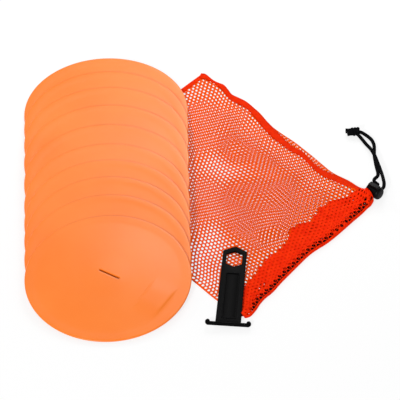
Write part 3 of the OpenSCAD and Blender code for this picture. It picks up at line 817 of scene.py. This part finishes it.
def on_surface(height):
    """A surface over the bag's place, with its upward direction, from a height function."""
    def point(a, b):
        xy = bag_place(a, b)
        return np.concatenate([xy, height(a, b, xy[..., 0], xy[..., 1])[..., None]], -1)

    def surface(X, Y):
        here, normal = with_normals(point, X, Y, 0.5)
        normal[normal[:, 2] < 0] *= -1
        return here, normal
    return surface


# The hems' cross-sections: places in from the mouth's edge and heights, from the fold outwards
UPPER_OVER = [(1.2, 2.35), (1.35, 3.3), (2.1, 4.2), (3.4, 4.65), (5.2, 4.95), (7.0, 5.35), (8.6, 5.45), (10.2, 5.1),
              (11.8, 4.2), (13.4, 3.1), (15.4, 2.2), (18.0, 1.85), (38.0, 1.85), (60.0, 1.85)]
UPPER_UNDER = [(1.2, 2.35), (1.35, 1.4), (2.1, 0.6), (3.3, 0.27), (4.6, 0.7), (5.4, 1.7), (5.75, 3.0), (6.5, 4.3),
               (7.6, 4.9), (8.8, 4.95), (10.2, 4.45), (11.6, 3.4), (13.2, 2.2), (15.4, 1.5), (18.0, 1.33),
               (38.0, 1.33), (60.0, 1.33)]
LOWER_OVER = [(6.35, 2.35), (6.7, 3.6), (7.6, 4.3), (8.6, 4.47), (9.8, 4.2), (11.0, 3.2), (12.4, 1.9), (14.6, 0.95),
              (18.0, 0.78), (38.0, 0.78), (60.0, 0.78)]
LOWER_UNDER = [(6.35, 2.35), (6.6, 1.2), (7.4, 0.45), (8.8, 0.27), (12.0, 0.27), (38.0, 0.27), (60.0, 0.27)]


def profile_runner(points):
    """Place and height along a cross-section by the distance run."""
    line = as_rows(curve_through(points, 4))
    reach = run_along(line)
    flat = line[:, 0] >= 18.0
    return (lambda u: (np.interp(u, reach, line[:, 0]), np.interp(u, reach, line[:, 1])),
            lambda into: np.interp(into, line[flat, 0], reach[flat]))


def hem_surface(over, under, rest_height, lifts):
    """A hem folded at its outer edge: distances run over the fold are positive, and those back under it negative.
    Flat places are given so that the hem's inner edge is at HEM_W, where the single ply goes on."""
    run_over, over_to = profile_runner(over)
    run_under, run_back = profile_runner(under)
    lag = float(over_to(HEM_W)) - HEM_W

    def section(X):
        return [np.where(X + lag >= 0, a, b) for a, b in zip(run_over(X + lag), run_under(-X - lag))]

    def point(a, b):
        into, z = section(a)
        xy = bag_place(into, b)
        run = a + lag
        share = lifts[1] + (np.where(run >= 0, lifts[0], lifts[2]) - lifts[1]) * smooth_step(np.abs(run) / 5.0)
        z = np.where(a < HEM_W, z + gathered(xy[..., 0], xy[..., 1], share), rest_height(a, b, xy[..., 0], xy[..., 1]))
        return np.concatenate([xy, z[..., None]], -1)
    return lambda X, Y: with_normals(point, X, Y, 0.3), section, lag, run_back


UPPER_PLY = Ply((0.0, 0.0), 0.0, 31, (0.0, 0.0))
LOWER_PLY = Ply((0.9, 0.1), 0.45, 21, (0.7, 1.2))
HEM_STRAND, TUCK_STRAND, CORD_DOT_STRAND, UNDER_DOT_STRAND = 4.1, 3.5, 0.9, 0.2
FOLD_CLOSED = (-1.5, 2.9)
OVER_CORD = (3.3, 9.4)
# Places of the hem where its cells stand more open: middle, half sizes and strand
HEM_SPOTS = [(31, 85, 4, 7, 3.0), (27.5, 60, 4, 7, 3.0), (27, 26, 7, 12, 2.9), (20, 9, 7, 9, 2.9),
             (16.5, 189, 4, 12, 1.9)]
# Width of the hem along the mouth, from the lock to the front corner
HEM_LINE = [(0, 30), (12.5, 31.5), (21, 33.5), (32, 38), (44, 43), (55, 47), (69.5, 42), (81, 41), (91, 46.5),
            (101, 48.5), (111, 39.5), (123, 35.5), (132.5, 34.5), (143.5, 37), (157, 37.5), (173, 35), (187.5, 34),
            (200.5, 32), (237, 30)]


def cord_shift(along):
    """How much farther in the drawcord lies near the lock, where the mouth is gathered."""
    return 3.0 * (1 - smooth_step((along - 8) / 22))


def hem_line(Y):
    across, width = np.array(HEM_LINE, float).T
    return np.interp(Y, across, width)


def make_net(name, height, ply):
    verts, faces = net_mesh(ply, hem_line, lambda Y: BAG_L - BIND_W + 2.0, (False, True),
                            lambda X, Y: np.full_like(X, STRAND), on_surface(height))
    return settle(make_object(name + "_mesh", verts.tolist(), faces, net_yarn), "bag", "net", name)


def fold_strip(surface, run_and_into):
    """The close cloth over a hem's fold: a fine strip with two faces and its edges closed."""
    X = np.arange(-30.0, 60.0, 0.6)
    run, into = run_and_into(X)
    X = X[(run > FOLD_CLOSED[0] - 2.6) & ((run < 0) | (into < FOLD_CLOSED[1] + 0.3))]
    gx, gy = (g.ravel() for g in np.meshgrid(X, np.linspace(CLOTH_LOW, CLOTH_HIGH, 190), indexing="ij"))
    middle, normal = surface(gx, gy)
    half = normal * (NET_T * 0.42)
    count = len(gx)
    ids = np.arange(count).reshape(len(X), -1)
    top = np.stack([ids[:-1, :-1], ids[1:, :-1], ids[1:, 1:], ids[:-1, 1:]], -1).reshape(-1, 4)
    rim = [*ids[0], *ids[1:, -1], *ids[-1, -2::-1], *ids[-2:0:-1, 0]]
    faces = top.tolist() + (top[:, ::-1] + count).tolist()
    faces += [(int(a), int(b), int(b) + count, int(a) + count) for a, b in zip(rim, rim[1:] + rim[:1])]
    return np.concatenate([middle + half, middle - half]), faces


def make_hem(name, over, under, rest_height, ply, lifts, tucked_over):
    """A hem, its cells drawn together by the cord's channel: closed along the fold, and open over the cord."""
    surface, section, lag, run_back = hem_surface(over, under, rest_height, lifts)

    def strand_at(X, Y):
        run = X + lag
        into, _ = section(X)
        across = into - cord_shift(Y)
        over_cord = (across > OVER_CORD[0]) & (across < OVER_CORD[1])
        over_cord &= (Y > CHANNEL_IN - 3) & (Y < BAG_W - CHANNEL_IN + 4)
        tucked = np.where(over_cord, UNDER_DOT_STRAND, TUCK_STRAND)
        shown = TUCK_STRAND if tucked_over else np.where(over_cord, CORD_DOT_STRAND, HEM_STRAND)
        width = np.where(run < 0, tucked, shown)
        for x, y, half_x, half_y, strand in HEM_SPOTS:
            inside = (np.hypot((into - x) / half_x, (Y - y) / half_y) < 1) & ((run > 0) | (strand < 2)) & ~over_cord
            width = np.where(inside, np.minimum(width, strand), width)
        closed = (run > FOLD_CLOSED[0]) & (into < FOLD_CLOSED[1]) & (not tucked_over)
        return np.where(closed, np.inf, width)

    verts, faces = net_mesh(ply, lambda Y: -lag - run_back(hem_line(Y)), hem_line, (True, False), strand_at, surface)
    if not tucked_over:
        strip, strip_faces = fold_strip(surface, lambda X: (X + lag, section(X)[0]))
        faces += [tuple(i + len(verts) for i in f) for f in strip_faces]
        verts = np.concatenate([verts, strip])
    return settle(make_object(name + "_mesh", verts.tolist(), faces, hem_yarn), "bag", "net", name)


net_lower = make_net("net_lower", lower_height, LOWER_PLY)
net_upper = make_net("net_upper", upper_height, UPPER_PLY)
hem_lower = make_hem("hem_lower", LOWER_UNDER, LOWER_OVER, lower_height, LOWER_PLY,
                     (LOWER_LIFT, LOWER_FOLD_LIFT, UPPER_FOLD_LIFT + 0.1), True)
hem_upper = make_hem("hem_upper", UPPER_OVER, UPPER_UNDER, upper_height, UPPER_PLY,
                     (UPPER_LIFT, UPPER_FOLD_LIFT, UPPER_LIFT - 0.12), False)


# ---- tapes

# Steps across a tape, the share of its width that each edge rounds off in, and the height of its ribs
TAPE_ACROSS, TAPE_ROUND, TAPE_RIB = 10, 0.16, 0.05


def make_tape(node, outer, inner, crest, base, thick):
    """A folded tape: a band between two lines with rounded edges and a slightly raised, ribbed middle."""
    one, two = as_rows(evenly(curve_through(outer, 6), 1.0)), as_rows(curve_through(inner, 6))
    n = len(one)
    reach = run_along(two)
    shares = [j / TAPE_ACROSS for j in range(TAPE_ACROSS + 1)]
    section = [(q, base + thick * (0.35 + 0.65 * float(smooth_step(min(q, 1 - q) / TAPE_ROUND))), TAPE_RIB)
               for q in shares] + [(q, base, 0.0) for q in shares[-2:0:-1]]
    verts = []
    for i, (a, b) in enumerate(zip(one, place_along(two, reach, np.arange(n) / (n - 1) * reach[-1]))):
        for share, z, rib in section:
            x, y = a + (b - a) * share
            verts.append((x, y, z + crest(x, y) + rib * (-1) ** i))
    rings = ring_ids(n, len(section))
    faces = skin(rings, False) + [rings[0], rings[-1][::-1]]
    settle(make_object(node + "_tape", verts, faces, tape_weave), "bag", "tape", node)


BAND_OUTER = [(1.2, 208.6), (6.6, 206.6), (14.6, 196.4), (21.5, 190.9), (27.2, 187.1), (31.7, 179.1), (36.2, 170.3),
              (43.1, 164.8), (52.2, 157.4), (61.2, 145.8), (70.2, 130.7), (79.1, 116.6), (90.3, 98.5), (99.2, 84.0),
              (108.2, 74.1), (115, 69.5), (121.6, 58.2), (130.5, 45.0), (139.4, 35.2), (148.4, 28.9), (159.7, 21.5),
              (168.4, 15.2), (176.2, 6.3), (180.4, -0.2)]
BAND_INNER = [(-1.5, 201.0), (5.3, 197.8), (13.4, 192.2), (20.2, 184.9), (27, 174.2), (32.5, 162.5), (38.2, 156.5),
              (45.1, 151.7), (52, 145.4), (58.7, 134.5), (65.4, 122.0), (72, 109.0), (80.9, 94.3), (89.9, 83.6),
              (101.2, 70.3), (112.4, 60.3), (121.3, 48.0), (130.2, 34.0), (139.1, 24.3), (148.1, 17.9), (157.1, 10.7),
              (165.4, 5.6), (171.8, 0.4), (176.4, -4.6)]
make_tape("side_binding", BAND_OUTER, BAND_INNER,
          lambda x, y: float(gathered(np.array(x), np.array(y), UPPER_LIFT)), 1.15, 1.0)

BOTTOM_OUTER = [(2.4, 209.0), (-21.8, 184.6), (-60, 145.0), (-100, 103.5), (-161.5, 39.6)]
BOTTOM_INNER = [(5.0, 203.4), (-17.4, 179.0), (-55.8, 140.0), (-95.8, 98.5), (-157.4, 35.2)]
make_tape("bottom_binding", BOTTOM_OUTER, BOTTOM_INNER, lambda x, y: 0.0, 0.02, 1.3)


# ---- drawcord

def hem_point(into, along):
    """A place in the mouth's own curved line."""
    xy = bag_place(np.array([into]), np.array([along / HEM_L * BAG_W]))[0]
    return Vector((xy[0], xy[1], TUBE_Z + float(gathered(xy[0:1], xy[1:2], CORD_LIFT)[0])))


def make_drawcord():
    far = HEM_L - CHANNEL_IN
    turn_r = (LOWER_IN - UPPER_IN) / 2
    through = [-LOCK_R - CORD_D, 0, LOCK_R]
    points = [in_lock(-HOLE_OUT, y) for y in reversed(through)]
    points += [hem_point(LOWER_IN + float(cord_shift(a)), a) for a in np.linspace(10, far, 26)]
    for i in range(1, 6):
        x, y = turned(turn_r, 0.0, pi * i / 6)
        points.append(hem_point(UPPER_IN + turn_r + x, far + y))
    points += [hem_point(UPPER_IN + float(cord_shift(a)), a) for a in np.linspace(far, CHANNEL_IN + 8, 24)]
    points += [in_lock(HOLE_OUT, y) for y in through]
    cord = sweep("drawcord_braid", evenly(curve_through(points, 6), 0.8), braid_radius(0.09), 20, black_cord)
    settle(cord, "bag", "cord", "drawcord")


make_drawcord()


# ---- lock

BARREL_L = 18.2
PLUNGER_T, PLUNGER_GAP, PLUNGER_WEB = 5.6, 0.3, 1.0
BUTTON_OUT, BUTTON_TRAVEL = 2.4, 1.7
LOCK_FLOOR_T = 1.4
SPRING_WIRE, SPRING_TURNS = 0.45, 2.5
# A barrel's end: distances in from it, and how far below the barrel's radius its face lies there
BARREL_END = [(0.0, LOCK_R - 0.05), (0.0, 2.3), (0.25, 1.5), (0.8, 0.75), (1.6, 0.25), (2.6, 0.02), (2.9, 0.35),
              (3.4, 0.35), (3.7, 0.0)]
# Radius of the lock's holes along the cords, flared where the free tails leave
LOCK_HOLE = [(-12.0, 2.3), (LOCK_R - 3.6, 2.3), (LOCK_R - 2.4, 2.75), (LOCK_R - 0.8, 3.1), (12.0, 3.4)]


def revolved(name, profile, sides, place):
    """A turned piece with flat ends from (along, radius) points."""
    verts = [place(along, *spoke) for along, r in profile for spoke in ring_points(r, sides)]
    rings = ring_ids(len(profile), sides)
    return make_object(name, verts, skin(rings) + [rings[0][::-1], rings[-1]], lock_plastic)


def rounded_block(name, size, low, radius):
    """A block in the lock's frame with rounded edges, its floor at a height."""
    mesh = bmesh.new()
    bmesh.ops.create_cube(mesh, size=1.0)
    for v in mesh.verts:
        v.co = Vector((v.co.x * size[0], v.co.y * size[1], low + (v.co.z + 0.5) * size[2]))
    bmesh.ops.bevel(mesh, geom=mesh.edges[:], offset=radius, segments=4, affect="EDGES", profile=0.5)
    verts = [in_lock(*v.co) for v in mesh.verts]
    faces = [tuple(v.index for v in f.verts) for f in mesh.faces]
    mesh.free()
    return make_object(name, verts, faces, lock_plastic)


def make_lock():
    half = BARREL_L / 2
    profile = [(into - half, LOCK_R - below) for into, below in BARREL_END]
    profile += [(-x, r) for x, r in reversed(profile)]
    barrel = revolved("lock_barrel_body", profile, 72, in_lock)
    slot_w = 2 * HOLE_OUT + CORD_D + 2 * PLUNGER_GAP
    plunger_w = slot_w + 2 * PLUNGER_WEB
    slot_half = CORD_D / 2 + PLUNGER_GAP
    plunger_low = -slot_half - PLUNGER_WEB
    well_low = LOCK_FLOOR_T - LOCK_R
    room = 2 * PLUNGER_GAP
    carve(barrel, [rounded_block("cut_well", (plunger_w + room, PLUNGER_T + room, 20.0), well_low, 0.3)]
          + [revolved("cut_hole", LOCK_HOLE, 32, lambda a, p, q, h=hole: in_lock(h + p, a, q))
             for hole in (-HOLE_OUT, HOLE_OUT)])
    plunger = rounded_block("lock_button_block", (plunger_w, PLUNGER_T, LOCK_R + BUTTON_OUT - plunger_low),
                            plunger_low, 0.55)
    carve(plunger, [rounded_block("cut_slot", (slot_w, 12.0, 2 * slot_half + BUTTON_TRAVEL), -slot_half, 0.6)])
    for piece, body, node in ((barrel, "cord_lock", "lock_barrel"), (plunger, "lock_button", "lock_plunger")):
        sharpen(piece, 38)
        settle(piece, body, "black_plastic", node)
    start = well_low + SPRING_WIRE / 2 + 0.05
    rise = plunger_low - well_low - SPRING_WIRE - 0.1
    steps = 90
    path = [in_lock(*turned((PLUNGER_T - SPRING_WIRE) / 2, 0.0, 2 * pi * SPRING_TURNS * i / steps),
                    start + rise * i / steps) for i in range(steps + 1)]
    spring = sweep("lock_spring_wire", path, lambda a, s: SPRING_WIRE / 2, 12, steel)
    settle(spring, "cord_lock", "spring", "lock_spring")
    foot = in_lock(0, 0, well_low) * MM
    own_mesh(spring)
    return barrel, plunger, spring


barrel, plunger, spring = make_lock()


# ---- end knot

# The wraps' turns, radius, start and run along the knot and their sway, the core's radius, and the ends' angle
WRAP_TURNS, WRAP_R, WRAP_FROM, WRAP_RUN, WRAP_SWAY, CORE_R, ENDS_APART = 2.35, 3.0, -4.4, 7.6, 0.9, 4.2, 5.0


def flared(total):
    """Radius of a cut end: it spreads into a wide flat brush whose yarns still show."""
    def at(turn, run):
        q = float(smooth_step(np.array(run / total)))
        wide, high = 2.2 + 0.8 * q, 2.1 + 0.6 * q
        round_off = wide * high / hypot(high * cos(turn), wide * sin(turn))
        return round_off * (1 + 0.03 * cos(11 * turn))
    return at


def make_knot():
    """The two tails tied together: two wraps of cord round them, and two short cut ends."""
    along, across = (Vector((*turned(x, 1 - x, radians(KNOT_LIE)), 0)) for x in (1, 0))
    up = Vector((0, 0, 1))
    middle = LOCK_FLOOR + KNOT_AT
    path = []
    for q in np.linspace(0, 1, 161).tolist():
        turn = 2 * pi * (WRAP_TURNS * q) + 0.4
        r = WRAP_R + 0.15 * sin(3 * turn)
        path.append(middle + along * (WRAP_FROM + WRAP_RUN * q + WRAP_SWAY * sin(2 * turn))
                    + across * (r * cos(turn)) + up * (r * sin(turn)))
    wraps = sweep("end_knot_wraps", evenly(path, 0.45), braid_radius(0.03, BRAID_R), 24, black_cord, 0.6)
    settle(wraps, "bag", "cord", "end_knot")
    core_path = evenly([middle + along * run for run in (-4.8, -3, 0, 3, 6.0)], 0.6)
    rest = [sweep("end_knot_core", core_path, lambda t, s: CORE_R + 0.12 * cos(9 * t), 36, black_cord, 0.5)]
    for side, name, reach in ((1, "near", 8.4), (-1, "far", 10.0)):
        out = (along + across * side * tan(radians(ENDS_APART))).normalized()
        base = middle + across * side * CORD_D / 2
        path = evenly([base + out * run for run in (1.5, 5, reach)], 0.5)
        rest.append(sweep("end_knot_cut_" + name, path, flared(line_length(path)), 36, black_cord, 0.25))
    for piece in rest:
        settle(piece, "bag", "cord")
    return [wraps, *rest]


knot_wraps, knot_core, *knot_ends = make_knot()


# ---- carry blade

CARRIER_L, BLADE_T = 129.2, 2.0
TOP_W, FOOT_W, TIP_H, TIP_WALL = 27.2, 29.2, 8.0, 8.4
HOLE_W, HOLE_L, HOLE_SIDE = 18.0, 25.0, 16.0
PANEL_W, PANEL_L, PANEL_IN, PANEL_UP = 13.8, 72.0, 0.5, 12.0
RAIL_W, RAIL_H = 1.6, 0.4
# The panel's rails and sunk floor: how much wider than the panel, how far in from the rail's edge, and how high
PANEL_STEPS = [(2 * RAIL_W, 0.0, 0.0), (2 * RAIL_W - 0.3, 0.15, RAIL_H - 0.1), (2 * RAIL_W - 0.7, 0.35, RAIL_H),
               (0.6, RAIL_W - 0.3, RAIL_H), (0.2, RAIL_W - 0.1, RAIL_H - 0.12), (0.0, RAIL_W, 0.1 - PANEL_IN),
               (-0.4, RAIL_W + 0.2, -PANEL_IN)]
# The blade's eased edges: distances in, and heights below the face
EASE = [(0.0, 0.45), (0.10, 0.20), (0.26, 0.06), (0.5, 0.0)]
FOOT_D, FOOT_SPAN, KNOB_D, KNOB_RISE = 4.0, 46.5, 5.5, 3.0
BAR_D = 4.6
CARRIER_AT = (23.89, -220.02, 4.064)
CARRIER_LEAN, CARRIER_ROLL = -5.0, 3.0


def in_carrier(x, y, z):
    spot = Matrix.Rotation(radians(CARRIER_LEAN), 3, "Z") @ Matrix.Rotation(radians(CARRIER_ROLL), 3, "Y")
    return Vector(CARRIER_AT) + spot @ Vector((x, y, z))


def make_carrier():
    shoulder = CARRIER_L - TIP_H
    outline = filleted([(-FOOT_W / 2, FOOT_D / 2), (FOOT_W / 2, FOOT_D / 2), (TOP_W / 2, shoulder), (0, CARRIER_L),
                        (-TOP_W / 2, shoulder)], 1.2, 5)
    mid = CARRIER_L - TIP_WALL - HOLE_L / 2
    right = [(HOLE_W / 2, mid - HOLE_SIDE / 2), (HOLE_W / 2, mid + HOLE_SIDE / 2), (0, mid + HOLE_L / 2)]
    hole = filleted(right + [(-x, 2 * mid - y) for x, y in right], 1.4, 4)
    verts, faces = [], []

    def eased(loop, way):
        """Rings up a wall whose two edges are eased."""
        steps = EASE[::-1] + [(d, BLADE_T - h) for d, h in EASE]
        return [add_ring(verts, [(*p, h) for p in moved_in(loop, d * way)]) for d, h in steps]

    def flat_face(loops, holes, up):
        order = [i for loop in loops for i in loop]
        _, tris = triangulated([[verts[i][:2] for i in loop] for loop in loops], holes=holes)
        faces.extend(tuple(order[i] for i in (t if up else reversed(t))) for t in tris)

    outer, inner = eased(outline, 1), eased(hole, -1)
    rings = []
    for width, into, z in PANEL_STEPS:
        low, high = PANEL_UP - RAIL_W + into, PANEL_UP + PANEL_L + RAIL_W - into
        half = (PANEL_W + width) / 2
        corners = filleted([(-half, low), (half, low), (half, high), (-half, high)], 0.8, 4)
        rings.append(add_ring(verts, [(*p, BLADE_T + z) for p in corners]))
    faces += skin(outer) + skin(inner[::-1]) + skin(rings)
    flat_face([outer[0], inner[0]], (1,), False)
    flat_face([rings[-1]], (), True)
    flat_face([outer[-1], inner[-1], rings[0]], (1, 2), True)
    blade = make_object("carrier_blade", [in_carrier(*v) for v in verts], faces, black_plastic)
    sharpen(blade, 50)
    settle(blade, "carrier", "black_plastic", "carrier")


def make_foot():
    """The foot: a round bar that turns up into a knob at each end."""
    half = FOOT_SPAN / 2
    left = [(-half, KNOB_RISE), (-half - 0.15, KNOB_RISE * 0.5), (-half + 0.5, 0.1), (-half + 2.0, 0), (-half / 2, 0)]
    points = left + [(0, 0)] + [(-x, y) for x, y in reversed(left)]
    height = BLADE_T / 2 + (BAR_D - FOOT_D) / 2
    path = evenly(curve_through([in_carrier(x, FOOT_D / 2 + y, height) for x, y in points], 8), 0.5)
    total = line_length(path)

    def radius(turn, run):
        end = min(run, total - run)
        return BAR_D / 2 + (KNOB_D - BAR_D) / 2 * float(1 - smooth_step((end - 1.0) / 3.2))
    foot = sweep("carrier_foot_bar", path, radius, 28, black_plastic, KNOB_D / 2 * 0.9)
    settle(foot, "carrier", "black_plastic")


make_carrier()
make_foot()


# ---- cloth and cord facts

def yarn_share(strand):
    """The share of a flat cloth that is yarn, from the lattice's own sizes: its holes are left out."""
    hole = polygon_area(hole_outline()[None])[0] / polygon_area(cell_outline()[None])[0]
    return 1 - hole * (1 - strand / CELL_X) ** 2


line_length(left_path) * MM
[tuple(p * MM) for p in left_path]
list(knot_ends)
line_length(right_path) * MM
[tuple(p * MM) for p in right_path]
for cloth, size, strand, rest in ((net_lower, (0.235, 0.262), STRAND, ["floor"]),
                                  (net_upper, (0.235, 0.262), STRAND, [net_lower.name]),
                                  (hem_lower, (0.235, 0.076), TUCK_STRAND, ["floor"]),
                                  (hem_upper, (0.235, 0.082), TUCK_STRAND, [hem_lower.name])):
    size[0] * size[1] * yarn_share(strand)
    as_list(rest)


# ---- floor and light

# The floor's half size and height, and how far the camera and glossy rays see it as plain white
FLOOR_HALF, FLOOR_Z, FLOOR_GLOW = 40000.0, -0.02, 0.80


def make_floor():
    material = bpy.data.materials.new("pale_floor")
    material.use_nodes = True
    tree = material.node_tree
    tree.nodes.clear()
    out = add(tree, "OutputMaterial")
    plain = add(tree, "BsdfDiffuse", values={"Color": (0.95, 0.95, 0.95, 1.0)})
    glow = add(tree, "Emission", values={"Color": (1.0, 1.0, 1.0, 1.0), "Strength": 1.0})
    path = add(tree, "LightPath")
    seen = add(tree, "Math", [(0, path.outputs["Is Camera Ray"]), (1, path.outputs["Is Glossy Ray"])],
               operation="MAXIMUM")
    share = add(tree, "Math", [(0, seen.outputs[0])], {1: FLOOR_GLOW}, operation="MULTIPLY")
    mix = add(tree, "MixShader", [(0, share.outputs[0]), (1, plain.outputs[0]), (2, glow.outputs[0])])
    tree.links.new(mix.outputs[0], out.inputs["Surface"])
    corners = [(x * FLOOR_HALF, y * FLOOR_HALF, FLOOR_Z) for x, y in ((-1, -1), (1, -1), (1, 1), (-1, 1))]
    floor = make_object("floor", corners, [(0, 1, 2, 3)], material, smooth=False)


def add_lamp(name, at, size, power):
    """A square lamp that looks at the middle of the set."""
    data = bpy.data.lights.new(name, "AREA")
    data.shape, data.size, data.size_y, data.energy = "RECTANGLE", size[0], size[1], power
    lamp = put(name, data)
    lamp.location = at
    lamp.rotation_euler = (-Vector(at)).to_track_quat("-Z", "Y").to_euler()


def set_light():
    """A white surround, a wide lamp behind that glosses the right, and lamps at the left and in front for the edges."""
    world = bpy.data.worlds.new("soft_white")
    world.use_nodes = True
    back = world.node_tree.nodes["Background"]
    back.inputs["Color"].default_value = (1.0, 1.0, 1.0, 1.0)
    back.inputs["Strength"].default_value = 0.47
    bpy.context.scene.world = world
    add_lamp("wide_back", (0.14, 0.68, 0.64), (0.40, 0.50), 4.2)
    add_lamp("far_back", (-1.2, 1.5, 1.1), (0.2, 0.2), 6.0)
    add_lamp("low_front", (-1.0, -2.4, 1.56), (0.2, 0.2), 49.0)


make_floor()
set_light()
bpy.context.scene.view_settings.view_transform = "Standard"
